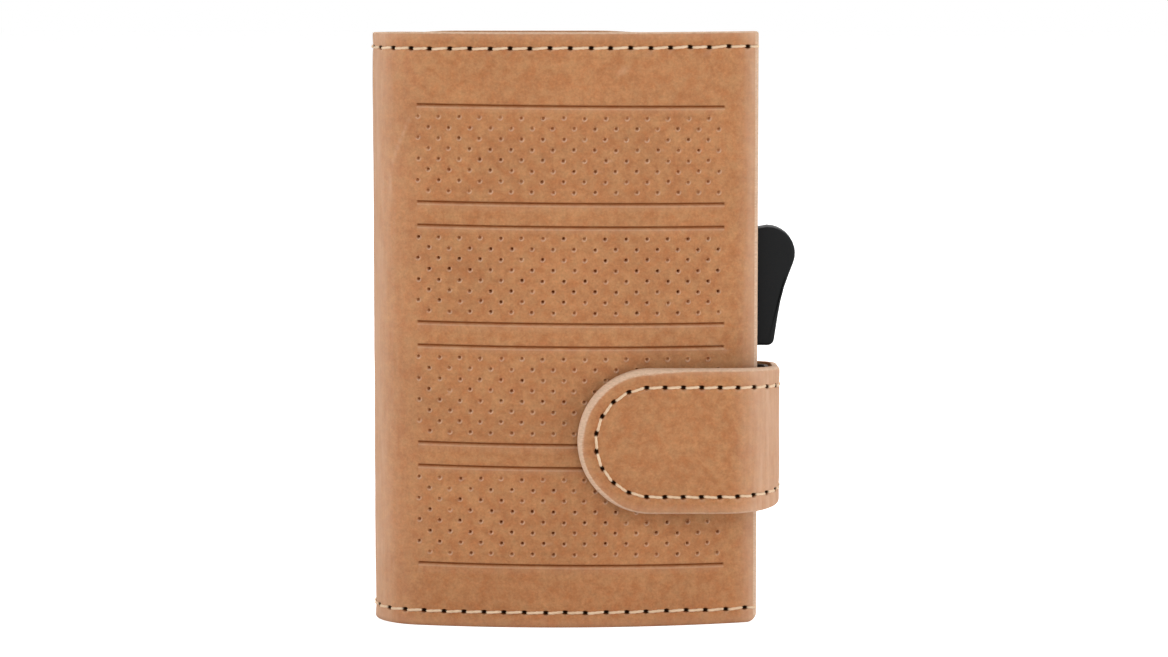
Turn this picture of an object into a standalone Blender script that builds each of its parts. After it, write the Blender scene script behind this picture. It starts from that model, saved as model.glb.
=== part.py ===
"""Mini wallet: a leather cover folded round a slim aluminium card case, closed by a magnetic strap.

Metres, +Z up, the front of the cover towards -Y. The wallet stands on its lower edge, with the
origin under the middle of its bounding box.
"""

import math
from itertools import pairwise

import bmesh
import bpy
from mathutils import Matrix, Vector

# Clearances
FIT_GAP = 0.0003  # between neighbouring pieces
CUT_OVERRUN = 0.0010  # how far a cutter passes the face it cuts
MERGE_DISTANCE = 0.000001

# Layers of the cover
LEATHER = 0.0013
LINING = 0.0007
POCKET_SHEET = 0.0008
TAPE = 0.0005
EDGE_INSET = 0.0004  # lining edges stand back from the leather edges
EDGE_RUN = 0.0002
CORNER_RADIUS = 0.0012

# Cover
COVER_DEPTH = 0.0200
COVER_ABOVE_CASE = 0.0025
CASE_FROM_SPINE = 0.0039
CASE_FROM_FREE_EDGE = 0.0021
SPINE_RADIUS = 0.0098
BACK_BEND_RADIUS = 0.0060
FRONT_CROWN_RADIUS = 0.1070  # the front is one shallow arc, from the spine to the free edge
FRONT_CROWN_FROM_MIDDLE = 0.0015  # towards the spine

# Strap
STRAP_WIDTH = 0.0250
STRAP_ROOT_WIDTH = 0.0226
STRAP_CENTRE_HEIGHT = 0.0326
STRAP_FRONT_REACH = 0.0310  # from the cover's edge back to the strap's tip
STRAP_BULGE = 0.0038  # how far the strap's side stands out past the cover's edge
STRAP_LINING = 0.0008
STRAP_FRONT_BEND_RADIUS = 0.0102
STRAP_BACK_BEND_RADIUS = 0.0050
STRAP_FLARE_RADIUS = 0.0030

# Pockets inside the front cover
POCKET_FOOT = 0.0020
NOTE_POCKET_HEIGHT = 0.0860
CARD_POCKET_HEIGHT = 0.0560
POCKET_FROM_SPINE = 0.0015
POCKET_FROM_FREE_EDGE = 0.0093
THUMB_NOTCH_HALF_WIDTH = 0.0100
THUMB_NOTCH_DEPTH = 0.0070

# Magnetic closure
MAGNET_DIAMETER = 0.0080
KEEPER_DIAMETER = 0.0100
MAGNET_FROM_TIP = 0.0127
SKIN_OVER_MAGNET = 0.0007
MAGNET_LINING_RECESS = 0.0004
KEEPER_LINING_RECESS = 0.0003

# Cards and card case
CARD_WIDTH = 0.0540
CARD_HEIGHT = 0.0856
CARD_COUNT = 5
CARD_CLEARANCE = 0.0007
CARD_BELOW_MOUTH = 0.0004
CARD_REST_HEIGHT = 0.0135
CASE_FOOT = 0.0015
CASE_THICKNESS = 0.0086
CASE_WALL = 0.0009
CASE_CORNER_RADIUS = 0.0030
CHANNEL_WIDTH = 0.0037
PAD_THICKNESS = 0.0005
PAD_WIDTH = 0.0400
PAD_HEIGHT = 0.0160
PAD_BELOW_MOUTH = 0.0035
CAP_THICKNESS = 0.0012
CAP_PLUG_HEIGHT = 0.0030
CAP_PLUG_WALL = 0.0010
SNAP_WIDTH = 0.0060
SNAP_HEIGHT = 0.0009
SNAP_FROM_MIDDLE = 0.0120
LEFT_POST_WIDTH = 0.0080
MIDDLE_POST_WIDTH = 0.0060
POST_SPACING = 0.0140
FIN_WIDTH = 0.0080
FIN_THICKNESS = 0.0009

# Ejector and its guide
EJECTOR_TRAVEL = 0.0220
GUIDE_WALL = 0.0006
GUIDE_BELOW_CARRIAGE = 0.0090
GUIDE_BELOW_MOUTH = 0.0010
FOOT_LENGTH = 0.0160
FOOT_FROM_CHANNEL = 0.0120
FOOT_FLOOR = 0.0010
ARM_THICKNESS = 0.0016
ARM_HEIGHT = 0.0020
TONGUE_HEIGHT = 0.0040
ROD_WIDTH = 0.0020
ROD_THICKNESS = 0.0034
CARRIAGE_HEIGHT = 0.0170
CARRIAGE_BELOW_NECK = 0.0025
NECK_ABOVE_LEVER_FOOT = 0.0048
NECK_HEIGHT = 0.0120
NECK_LENGTH = 0.0030  # into the lever
LEVER_ABOVE_STRAP = 0.0025
LEVER_HEIGHT = 0.0207
LEVER_REACH = 0.0084
LEVER_THICKNESS = 0.0040
LEVER_HEAD_RADIUS = 0.0049
LEVER_TAIL_RADIUS = 0.0012
LEVER_TAIL_WIDTH = 0.0049
LEVER_WAIST_PULL = 0.0040
LEVER_HEAD_SWEEP = math.radians(-17)
LEVER_TAIL_LEAN = math.radians(11)
LEVER_EDGE = 0.0005
PIN_DIAMETER = 0.0010
PIN_SPACING = 0.0070
PIN_DEPTH_IN_LEVER = 0.00115  # so that the cover's edge hides the pins from the front

# Facets
ARC_STEP = math.radians(11.25)
LONGEST_FACET = 0.0070
CORNER_STEPS = 5
DISC_SIDES = 24
PIN_SIDES = 16
BEVEL_STEPS = 2
SMOOTH_ANGLE = math.radians(35)

# Places that follow from the sizes above, with x = 0 in the middle of the cover
CARD_SPACE_WIDTH = CARD_WIDTH + CARD_CLEARANCE
CASE_INSIDE_WIDTH = CARD_SPACE_WIDTH + CHANNEL_WIDTH
CASE_WIDTH = CASE_INSIDE_WIDTH + 2 * CASE_WALL
CASE_TOP = CARD_REST_HEIGHT + CARD_HEIGHT + CARD_BELOW_MOUTH
COVER_WIDTH = CASE_FROM_SPINE + CASE_WIDTH + CASE_FROM_FREE_EDGE
COVER_HEIGHT = CASE_TOP + COVER_ABOVE_CASE
COVER_EDGE = COVER_WIDTH / 2
COVER_FACE = COVER_DEPTH / 2
STRAP_TIP_X = COVER_EDGE - STRAP_FRONT_REACH
STRAP_THICKNESS = LEATHER + FIT_GAP + STRAP_LINING
STRAP_FACE = COVER_FACE + FIT_GAP + STRAP_THICKNESS
STRAP_SIDE = COVER_EDGE + STRAP_BULGE
LINING_DEPTH = LEATHER + FIT_GAP
STRAP_HALF = STRAP_WIDTH / 2
STRAP_ROOT_HALF = STRAP_ROOT_WIDTH / 2

BACK_STACK = LINING_DEPTH + LINING + FIT_GAP + TAPE + FIT_GAP
CASE_BACK = COVER_FACE - BACK_STACK
CASE_FRONT = CASE_BACK - CASE_THICKNESS
CASE_MIDDLE_Y = (CASE_BACK + CASE_FRONT) / 2
CASE_INSIDE_BACK = CASE_BACK - CASE_WALL
CASE_INSIDE_FRONT = CASE_FRONT + CASE_WALL
CASE_RIGHT = COVER_EDGE - CASE_FROM_FREE_EDGE
CASE_LEFT = CASE_RIGHT - CASE_WIDTH
CASE_INSIDE_RIGHT = CASE_RIGHT - CASE_WALL
CASE_INSIDE_LEFT = CASE_LEFT + CASE_WALL
CHANNEL_LEFT = CASE_INSIDE_RIGHT - CHANNEL_WIDTH
CAP_TOP = CASE_FOOT + CAP_THICKNESS
SHELL_FOOT = CAP_TOP + FIT_GAP
PLUG_TOP = CAP_TOP + CAP_PLUG_HEIGHT
CARD_FRONT = CASE_INSIDE_FRONT + FIT_GAP + PAD_THICKNESS + FIT_GAP
CARD_BACK = CASE_INSIDE_BACK - FIT_GAP - PAD_THICKNESS - FIT_GAP

LEVER_LEFT = CASE_RIGHT + FIT_GAP
LEVER_TIP = LEVER_LEFT + LEVER_REACH
FOOT_BASE = PLUG_TOP + FIT_GAP
ARM_TOP = FOOT_BASE + ARM_HEIGHT
LEVER_FOOT = STRAP_CENTRE_HEIGHT + STRAP_HALF + LEVER_ABOVE_STRAP
NECK_FOOT = LEVER_FOOT + NECK_ABOVE_LEVER_FOOT
CARRIAGE_FOOT = NECK_FOOT - CARRIAGE_BELOW_NECK
GUIDE_FOOT = CARRIAGE_FOOT - GUIDE_BELOW_CARRIAGE

MIDDLE_X = (LEVER_TIP - COVER_EDGE) / 2
MIDDLE_Y = (COVER_FACE - STRAP_FACE) / 2


class Route:
    """The leather's outer surface seen from above, walked by distance from the strap's tip."""

    def __init__(self):
        self.parts = []
        self.length = 0.0

    def add_line(self, start, end):
        start, end = Vector(start), Vector(end)
        along = (end - start).normalized()
        outward = Vector((along.y, -along.x))

        def place(distance):
            return start + along * distance, outward

        self.parts.append((self.length, (end - start).length, place, 1))
        self.length += (end - start).length

    def add_arc(self, centre, radius, start_angle, turn):
        """A part of a circle, turning anticlockwise."""
        centre = Vector(centre)

        def place(distance):
            angle = start_angle + distance / radius
            outward = Vector((math.cos(angle), math.sin(angle)))
            return centre + outward * radius, outward

        steps = max(1, round(turn / ARC_STEP), math.ceil(turn * radius / LONGEST_FACET))
        self.parts.append((self.length, turn * radius, place, steps))
        self.length += turn * radius

    def at(self, distance):
        """The point and the outward direction at this distance."""
        for start, length, place, _ in self.parts:
            if distance <= start + length or (start, length) == self.parts[-1][:2]:
                return place(max(0.0, distance - start))

    def part_start(self, index):
        return self.parts[index][0]

    def part_end(self, index):
        return self.parts[index][0] + self.parts[index][1]

    def facing(self, index, angle):
        """The distance at which the surface of this part faces the angle."""
        low, high = self.part_start(index), self.part_end(index)
        target = Vector((math.cos(angle), math.sin(angle)))
        while high - low > MERGE_DISTANCE:
            middle = (low + high) / 2
            outward = self.at(middle)[1]
            if outward.x * target.y - outward.y * target.x > 0:
                low = middle
            else:
                high = middle
        return low

    def stations(self, start, stop, extra=()):
        """Distances that show every bend between start and stop."""
        found = {start, stop}
        found.update(x for x in extra if start < x < stop)
        for part_start, length, _, steps in self.parts:
            for i in range(steps + 1):
                x = part_start + length * i / steps
                if start + EDGE_RUN < x < stop - EDGE_RUN:
                    found.add(x)
        kept = []
        for x in sorted(found):
            if not kept or x - kept[-1] > MERGE_DISTANCE:
                kept.append(x)
        return kept


def leather_route():
    """Strap tip, round the right side, along the back, round the spine, to the front's free edge."""
    quarter = math.pi / 2
    route = Route()
    strap_bend_x = STRAP_SIDE - STRAP_FRONT_BEND_RADIUS
    strap_bend_y = STRAP_FRONT_BEND_RADIUS - STRAP_FACE
    root_x = STRAP_SIDE - STRAP_BACK_BEND_RADIUS
    root_y = COVER_FACE - STRAP_BACK_BEND_RADIUS
    bend_x = BACK_BEND_RADIUS - COVER_EDGE
    bend_y = COVER_FACE - BACK_BEND_RADIUS
    spine_x = SPINE_RADIUS - COVER_EDGE
    crown_x = -FRONT_CROWN_FROM_MIDDLE
    crown_y = FRONT_CROWN_RADIUS - COVER_FACE
    # The spine's circle touches the front's from inside, where both face the same way
    spine_turn = math.acos((crown_x - spine_x) / (FRONT_CROWN_RADIUS - SPINE_RADIUS))
    spine_y = crown_y - (FRONT_CROWN_RADIUS - SPINE_RADIUS) * math.sin(spine_turn)
    edge_turn = math.asin((COVER_EDGE - crown_x) / FRONT_CROWN_RADIUS)
    front_turn = quarter - spine_turn + edge_turn
    route.add_line((STRAP_TIP_X, -STRAP_FACE), (strap_bend_x, -STRAP_FACE))
    route.add_arc((strap_bend_x, strap_bend_y), STRAP_FRONT_BEND_RADIUS, -quarter, quarter)
    route.add_line((STRAP_SIDE, strap_bend_y), (STRAP_SIDE, root_y))
    route.add_arc((root_x, root_y), STRAP_BACK_BEND_RADIUS, 0, quarter)
    route.add_line((root_x, COVER_FACE), (bend_x, COVER_FACE))
    route.add_arc((bend_x, bend_y), BACK_BEND_RADIUS, quarter, quarter)
    route.add_line((-COVER_EDGE, bend_y), (-COVER_EDGE, spine_y))
    route.add_arc((spine_x, spine_y), SPINE_RADIUS, math.pi, spine_turn)
    route.add_arc((crown_x, crown_y), FRONT_CROWN_RADIUS, math.pi + spine_turn, front_turn)
    return route


ROUTE = leather_route()
STRAP_FRONT, STRAP_BEND, _, ROOT_BEND, BACK_PANEL, BACK_BEND, _, SPINE, FRONT_PANEL = range(9)

# Distances along the route at which the leather folds, each on the outer surface in mid bend
TIP_FOLD = ROUTE.facing(STRAP_BEND, math.radians(-45))
ROOT_FOLD = ROUTE.facing(ROOT_BEND, math.radians(45))
BACK_FOLD = ROUTE.facing(BACK_BEND, math.radians(135))
FRONT_FOLD = ROUTE.facing(SPINE, math.radians(225))
PANEL_EDGE = ROUTE.part_start(BACK_PANEL) + STRAP_SIDE - STRAP_BACK_BEND_RADIUS - CASE_RIGHT
FREE_EDGE = ROUTE.length


def fold_place(distance):
    point = ROUTE.at(distance)[0]
    return Vector((point.x, point.y, 0))


# Materials and objects


def material(name, colour, roughness, metallic=0.0):
    made = bpy.data.materials.new(name)
    made.use_nodes = True
    shader = made.node_tree.nodes["Principled BSDF"]
    shader.inputs["Base Color"].default_value = (*colour, 1)
    shader.inputs["Roughness"].default_value = roughness
    shader.inputs["Metallic"].default_value = metallic
    made.diffuse_color = (*colour, 1)
    return made


def tan_leather(name):
    return material(name, (0.45, 0.21, 0.09), 0.70)


def pale_lining(name):
    return material(name, (0.36, 0.19, 0.10), 0.80)


def dark_lining(name):
    return material(name, (0.05, 0.035, 0.025), 0.85)


def black_plastic(name):
    return material(name, (0.015, 0.016, 0.017), 0.45)


def brushed_aluminium(name):
    return material(name, (0.62, 0.63, 0.65), 0.32, 1.0)


def bright_steel(name):
    return material(name, (0.55, 0.55, 0.57), 0.25, 1.0)


def black_felt(name):
    return material(name, (0.02, 0.02, 0.022), 0.95)


def double_sided_tape(name):
    return material(name, (0.70, 0.68, 0.62), 0.60)


def empty(name, place, parent=None, parent_place=None):
    """An empty on a body's joint axis, which the body's pieces hang from."""
    made = bpy.data.objects.new(name, None)
    bpy.context.scene.collection.objects.link(made)
    made.parent = parent
    made.location = place - parent_place if parent else place
    made.empty_display_size = BACK_BEND_RADIUS
    return made


def link(name, mesh, surface=None):
    """An object from a bmesh, in the wallet's own coordinates."""
    data = bpy.data.meshes.new(name)
    bmesh.ops.recalc_face_normals(mesh, faces=mesh.faces)
    mesh.to_mesh(data)
    mesh.free()
    data.shade_smooth()
    data.set_sharp_from_angle(angle=SMOOTH_ANGLE)
    made = bpy.data.objects.new(name, data)
    bpy.context.scene.collection.objects.link(made)
    if surface:
        data.materials.append(surface(name + "_finish"))
    return made


def carry(body, *pieces):
    """Hang pieces from the body's empty, where they already are."""
    axis, place = body
    for piece in pieces:
        piece.parent = axis
        piece.location = -place


def hide_tool(tool):
    tool.hide_render = True
    tool.display_type = "WIRE"


def combine(piece, tool, operation):
    """Join a tool to a piece, or cut it out of it."""
    change = piece.modifiers.new(tool.name, "BOOLEAN")
    change.operation = operation
    change.solver = "EXACT"
    change.object = tool
    hide_tool(tool)


# Shapes


def sheet(start, stop, depth, thickness, low, high, extra=()):
    """A strip of sheet that follows the route, between two distances and two heights."""
    mesh = bmesh.new()
    rings = []
    for s in ROUTE.stations(start, stop, extra):
        point, outward = ROUTE.at(s)
        outer = point - outward * depth
        inner = point - outward * (depth + thickness)
        rings.append(
            [
                mesh.verts.new((outer.x, outer.y, low(s))),
                mesh.verts.new((outer.x, outer.y, high(s))),
                mesh.verts.new((inner.x, inner.y, high(s))),
                mesh.verts.new((inner.x, inner.y, low(s))),
            ]
        )
    for a, b in pairwise(rings):
        for i in range(4):
            mesh.faces.new((a[i - 1], a[i], b[i], b[i - 1]))
    mesh.faces.new(rings[0])
    mesh.faces.new(rings[-1])
    bmesh.ops.remove_doubles(mesh, verts=mesh.verts, dist=MERGE_DISTANCE)
    return mesh


def prism(outline, bottom, top, axis="Z"):
    """A closed outline pushed along an axis. The outline's pairs fill the other two axes in order."""
    mesh = bmesh.new()

    def corner(a, b, c):
        return {"X": (c, a, b), "Y": (a, c, b), "Z": (a, b, c)}[axis]

    lower = [mesh.verts.new(corner(a, b, bottom)) for a, b in outline]
    upper = [mesh.verts.new(corner(a, b, top)) for a, b in outline]
    mesh.faces.new(lower)
    mesh.faces.new(upper)
    for i in range(len(outline)):
        mesh.faces.new((lower[i - 1], lower[i], upper[i], upper[i - 1]))
    return mesh


def tube(outer, inner, bottom, top):
    """A straight tube between two outlines with as many points each."""
    mesh = bmesh.new()
    loops = []
    for outline, height in ((outer, bottom), (outer, top), (inner, top), (inner, bottom)):
        loops.append([mesh.verts.new((x, y, height)) for x, y in outline])
    for a, b in zip(loops, loops[1:] + loops[:1]):
        for i in range(len(a)):
            mesh.faces.new((a[i - 1], a[i], b[i], b[i - 1]))
    return mesh


def box(x0, x1, y0, y1, z0, z1):
    return prism([(x0, y0), (x1, y0), (x1, y1), (x0, y1)], z0, z1)


def rounded_outline(x0, x1, y0, y1, radius):
    """A rectangle with round corners, anticlockwise."""
    outline = []
    corners = (
        (x1 - radius, y1 - radius, 0),
        (x0 + radius, y1 - radius, 90),
        (x0 + radius, y0 + radius, 180),
        (x1 - radius, y0 + radius, 270),
    )
    for x, y, start in corners:
        for i in range(CORNER_STEPS + 1):
            angle = math.radians(start + 90 * i / CORNER_STEPS)
            outline.append((x + radius * math.cos(angle), y + radius * math.sin(angle)))
    return outline


def disc(x, z, diameter, front, back, sides=DISC_SIDES):
    """A round plate or pin along Y."""
    radius = diameter / 2
    outline = []
    for i in range(sides):
        angle = 2 * math.pi * i / sides
        outline.append((x + radius * math.cos(angle), z + radius * math.sin(angle)))
    return prism(outline, front, back, "Y")


def case_outline(inset):
    return rounded_outline(
        CASE_LEFT + inset,
        CASE_RIGHT - inset,
        CASE_FRONT + inset,
        CASE_BACK - inset,
        max(CASE_CORNER_RADIUS - inset, CASE_WALL),
    )


# Heights of the leather along the route


def round_corner(distance_to_edge, radius):
    """How far a rounded corner takes the edge back, this near to a free end."""
    if distance_to_edge >= radius:
        return 0.0
    return radius - math.sqrt(max(0.0, radius**2 - (radius - distance_to_edge) ** 2))


def strap_half(s):
    """Half the strap's width: a round tip, straight sides, then a taper to the root."""
    tip = ROUTE.part_start(STRAP_FRONT)
    if s < tip + STRAP_HALF:
        return math.sqrt(max(0.0, STRAP_HALF**2 - (tip + STRAP_HALF - s) ** 2))
    bend = ROUTE.part_start(STRAP_BEND)
    root = ROUTE.part_end(ROOT_BEND)
    share = min(max((s - bend) / (root - bend), 0.0), 1.0)
    smooth = share * share * (3 - 2 * share)
    return STRAP_HALF + (STRAP_ROOT_HALF - STRAP_HALF) * smooth


def tip_stations():
    tip = ROUTE.part_start(STRAP_FRONT)
    steps = 2 * CORNER_STEPS
    return [tip + STRAP_HALF * (1 - math.cos(math.pi / 2 * i / steps)) for i in range(1, steps + 1)]


def flare_stations():
    return [PANEL_EDGE - STRAP_FLARE_RADIUS * i / CORNER_STEPS for i in range(CORNER_STEPS + 1)]


def corner_stations(edge, radius, side):
    """Stations round a corner at a free edge. side is 1 where the piece lies past the edge."""
    shares = [1 - math.cos(math.pi / 2 * i / CORNER_STEPS) for i in range(1, CORNER_STEPS + 1)]
    return [edge + side * radius * x for x in shares]


def strap_heights(inset=0.0):
    def low(s):
        return STRAP_CENTRE_HEIGHT - max(strap_half(s) - inset, 0.0)

    def high(s):
        return STRAP_CENTRE_HEIGHT + max(strap_half(s) - inset, 0.0)

    return low, high


def back_heights(inset=0.0):
    """The back panel, with the strap's root growing out of its right edge."""
    panel = PANEL_EDGE + EDGE_RUN

    def flare(s):
        u = min(max(s - PANEL_EDGE + STRAP_FLARE_RADIUS, 0.0), STRAP_FLARE_RADIUS)
        return STRAP_FLARE_RADIUS - math.sqrt(STRAP_FLARE_RADIUS**2 - u**2)

    def low(s):
        if s < panel:
            return STRAP_CENTRE_HEIGHT - strap_half(s) - flare(s) + inset
        return inset + round_corner(s - panel, CORNER_RADIUS)

    def high(s):
        if s < panel:
            return STRAP_CENTRE_HEIGHT + strap_half(s) + flare(s) - inset
        return COVER_HEIGHT - inset - round_corner(s - panel, CORNER_RADIUS)

    return low, high


def front_heights(inset=0.0):
    edge = FREE_EDGE - inset

    def low(s):
        return inset + round_corner(edge - s, CORNER_RADIUS)

    def high(s):
        return COVER_HEIGHT - inset - round_corner(edge - s, CORNER_RADIUS)

    return low, high


# Bodies


def make_bodies():
    """One empty for each body, on the axis that the body turns or slides on."""
    origin = Vector((-MIDDLE_X, -MIDDLE_Y, 0))
    wallet = empty("wallet_origin", origin)
    zero = Vector((0, 0, 0))
    spine_place = fold_place(BACK_FOLD)
    front_place = fold_place(FRONT_FOLD)
    side_place = fold_place(ROOT_FOLD)
    tip_place = fold_place(TIP_FOLD)
    slide_place = Vector((CHANNEL_LEFT, CASE_MIDDLE_Y, 0))
    back = empty("back_axis", zero, wallet, zero)
    spine = empty("cover_back_fold_axis", spine_place, back, zero)
    front = empty("cover_front_fold_axis", front_place, spine, spine_place)
    side = empty("strap_root_fold_axis", side_place, back, zero)
    tip = empty("strap_tip_fold_axis", tip_place, side, side_place)
    slide = empty("ejector_slide_axis", slide_place, back, zero)
    return {
        "back": (back, zero),
        "spine": (spine, spine_place),
        "front": (front, front_place),
        "strap_side": (side, side_place),
        "strap_tip": (tip, tip_place),
        "ejector": (slide, slide_place),
    }


# Cover


def make_cover(bodies):
    half_gap = FIT_GAP / 2
    panel_corner = corner_stations(PANEL_EDGE + EDGE_RUN, CORNER_RADIUS, 1)
    back_extra = [PANEL_EDGE, PANEL_EDGE + EDGE_RUN, *flare_stations(), *panel_corner]
    front_extra = corner_stations(FREE_EDGE, CORNER_RADIUS, -1)
    lining_extra = corner_stations(FREE_EDGE - EDGE_INSET, CORNER_RADIUS, -1)
    upright = front_heights()
    inset_upright = front_heights(EDGE_INSET)

    spans = {
        "back": (ROOT_FOLD + half_gap, BACK_FOLD - half_gap),
        "spine": (BACK_FOLD + half_gap, FRONT_FOLD - half_gap),
        "front": (FRONT_FOLD + half_gap, FREE_EDGE),
    }
    leather_layers = {
        "back": (back_heights(), back_extra),
        "spine": (upright, ()),
        "front": (upright, front_extra),
    }
    lining_layers = {
        "back": (back_heights(EDGE_INSET), back_extra),
        "spine": (inset_upright, ()),
        "front": (inset_upright, lining_extra),
    }
    pieces = {}
    for body, (start, stop) in spans.items():
        (low, high), extra = leather_layers[body]
        mesh = sheet(start, stop, 0, LEATHER, low, high, extra)
        pieces[body + "_leather"] = link(body + "_leather", mesh, tan_leather)
        (low, high), extra = lining_layers[body]
        end = stop - EDGE_INSET if body == "front" else stop
        mesh = sheet(start, end, LINING_DEPTH, LINING, low, high, extra)
        pieces[body + "_lining"] = link(body + "_lining", mesh, pale_lining)
        carry(bodies[body], pieces[body + "_leather"], pieces[body + "_lining"])
    return pieces


def make_pockets(body):
    """Two sheets sewn inside the front cover: one for notes, one with a thumb notch for cards."""
    start = ROUTE.part_start(FRONT_PANEL) + POCKET_FROM_SPINE
    stop = FREE_EDGE - POCKET_FROM_FREE_EDGE
    middle = (start + stop) / 2
    depth = LINING_DEPTH + LINING + FIT_GAP

    def low(s):
        return POCKET_FOOT

    def note_high(s):
        return POCKET_FOOT + NOTE_POCKET_HEIGHT

    def card_high(s):
        share = min(abs(s - middle) / THUMB_NOTCH_HALF_WIDTH, 1.0)
        return POCKET_FOOT + CARD_POCKET_HEIGHT - THUMB_NOTCH_DEPTH * math.sqrt(1 - share**2)

    steps = 2 * CORNER_STEPS
    angles = [math.pi * i / steps for i in range(steps + 1)]
    notch = [middle - THUMB_NOTCH_HALF_WIDTH * math.cos(a) for a in angles]
    note = link("note_pocket", sheet(start, stop, depth, POCKET_SHEET, low, note_high), pale_lining)
    depth += POCKET_SHEET + FIT_GAP
    card = link("card_pocket", sheet(start, stop, depth, POCKET_SHEET, low, card_high, notch), tan_leather)
    carry(body, note, card)


# Strap and its closure


def make_strap(bodies):
    half_gap = FIT_GAP / 2
    tip_span = (ROUTE.part_start(STRAP_FRONT), TIP_FOLD - half_gap)
    side_span = (TIP_FOLD + half_gap, ROOT_FOLD - half_gap)
    layers = (
        ("outer", 0, LEATHER, 0, tan_leather),
        ("lining", LINING_DEPTH, STRAP_LINING, EDGE_INSET, dark_lining),
    )
    pieces = {}
    for layer, depth, thickness, inset, surface in layers:
        low, high = strap_heights(inset)
        start = tip_span[0] + inset
        mesh = sheet(start, tip_span[1], depth, thickness, low, high, tip_stations())
        pieces["strap_tip_" + layer] = link("strap_tip_" + layer, mesh, surface)
        mesh = sheet(*side_span, depth, thickness, low, high)
        pieces["strap_side_" + layer] = link("strap_side_" + layer, mesh, surface)
        carry(bodies["strap_tip"], pieces["strap_tip_" + layer])
        carry(bodies["strap_side"], pieces["strap_side_" + layer])
    return pieces


def buried_disc(distance, diameter, depth, back_depth):
    """A disc inside a sheet, square to its surface at this distance and between two depths."""
    point, outward = ROUTE.at(distance)
    turn = math.atan2(outward.x, -outward.y)
    mesh = disc(0, 0, diameter, depth, back_depth)
    place = Matrix.Translation((point.x, point.y, STRAP_CENTRE_HEIGHT)) @ Matrix.Rotation(turn, 4, "Z")
    bmesh.ops.transform(mesh, matrix=place, verts=mesh.verts)
    return mesh


def make_closure(bodies, cover, strap):
    """A thin magnet between the strap's layers and a steel disc between the front's layers."""
    magnet_at = ROUTE.part_start(STRAP_FRONT) + MAGNET_FROM_TIP
    keeper_turn = math.asin(
        (STRAP_TIP_X + MAGNET_FROM_TIP + FRONT_CROWN_FROM_MIDDLE) / FRONT_CROWN_RADIUS
    )
    keeper_at = ROUTE.facing(FRONT_PANEL, keeper_turn - math.pi / 2)
    for body, name, diameter, distance, lining_recess, outer, lining in (
        (
            "strap_tip",
            "strap_magnet",
            MAGNET_DIAMETER,
            magnet_at,
            MAGNET_LINING_RECESS,
            strap["strap_tip_outer"],
            strap["strap_tip_lining"],
        ),
        (
            "front",
            "front_keeper",
            KEEPER_DIAMETER,
            keeper_at,
            KEEPER_LINING_RECESS,
            cover["front_leather"],
            cover["front_lining"],
        ),
    ):
        recess_back = LINING_DEPTH + lining_recess
        seam = LEATHER + FIT_GAP / 2
        hole = diameter + 2 * FIT_GAP
        outer_cut = link(name + "_outer_recess", buried_disc(distance, hole, SKIN_OVER_MAGNET, seam))
        lining_cut = link(name + "_lining_recess", buried_disc(distance, hole, seam, recess_back))
        combine(outer, outer_cut, "DIFFERENCE")
        combine(lining, lining_cut, "DIFFERENCE")
        plate = buried_disc(distance, diameter, SKIN_OVER_MAGNET + FIT_GAP, recess_back - FIT_GAP)
        made = link(name, plate, bright_steel)
        carry(bodies[body], made, outer_cut, lining_cut)


# Card case


def make_case(body):
    walls = tube(case_outline(0), case_outline(CASE_WALL), SHELL_FOOT, CASE_TOP)
    shell = link("case_shell", walls, brushed_aluminium)
    slot_half = ARM_THICKNESS / 2 + FIT_GAP
    slot = link(
        "lever_slot",
        box(
            CASE_INSIDE_RIGHT - CUT_OVERRUN,
            CASE_RIGHT + CUT_OVERRUN,
            CASE_MIDDLE_Y - slot_half,
            CASE_MIDDLE_Y + slot_half,
            NECK_FOOT - FIT_GAP,
            NECK_FOOT + NECK_HEIGHT + EJECTOR_TRAVEL + FIT_GAP,
        ),
    )
    combine(shell, slot, "DIFFERENCE")
    windows = snap_boxes("snap_window", FIT_GAP, CASE_FRONT - CUT_OVERRUN, CASE_BACK + CUT_OVERRUN)
    for window in windows:
        combine(shell, window, "DIFFERENCE")
    carry(body, shell, slot, *windows)

    tape = link(
        "case_tape",
        box(
            CASE_LEFT + CASE_CORNER_RADIUS,
            CASE_RIGHT - CASE_CORNER_RADIUS,
            CASE_BACK + FIT_GAP,
            CASE_BACK + FIT_GAP + TAPE,
            SHELL_FOOT + CASE_CORNER_RADIUS,
            CASE_TOP - CASE_CORNER_RADIUS,
        ),
        double_sided_tape,
    )
    carry(body, tape)


def snap_boxes(name, gap, front, back):
    """The snap nubs of the cap, or with a gap the windows that they click into."""
    middle = PLUG_TOP - CAP_PLUG_HEIGHT / 3
    centre = (CASE_LEFT + CASE_RIGHT) / 2
    made = []
    for side, word in ((-1, "left"), (1, "right")):
        x = centre + side * SNAP_FROM_MIDDLE
        shape = box(
            x - SNAP_WIDTH / 2 - gap,
            x + SNAP_WIDTH / 2 + gap,
            front,
            back,
            middle - SNAP_HEIGHT / 2 - gap,
            middle + SNAP_HEIGHT / 2 + gap,
        )
        made.append(link(name + "_" + word, shape))
    return made


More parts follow.
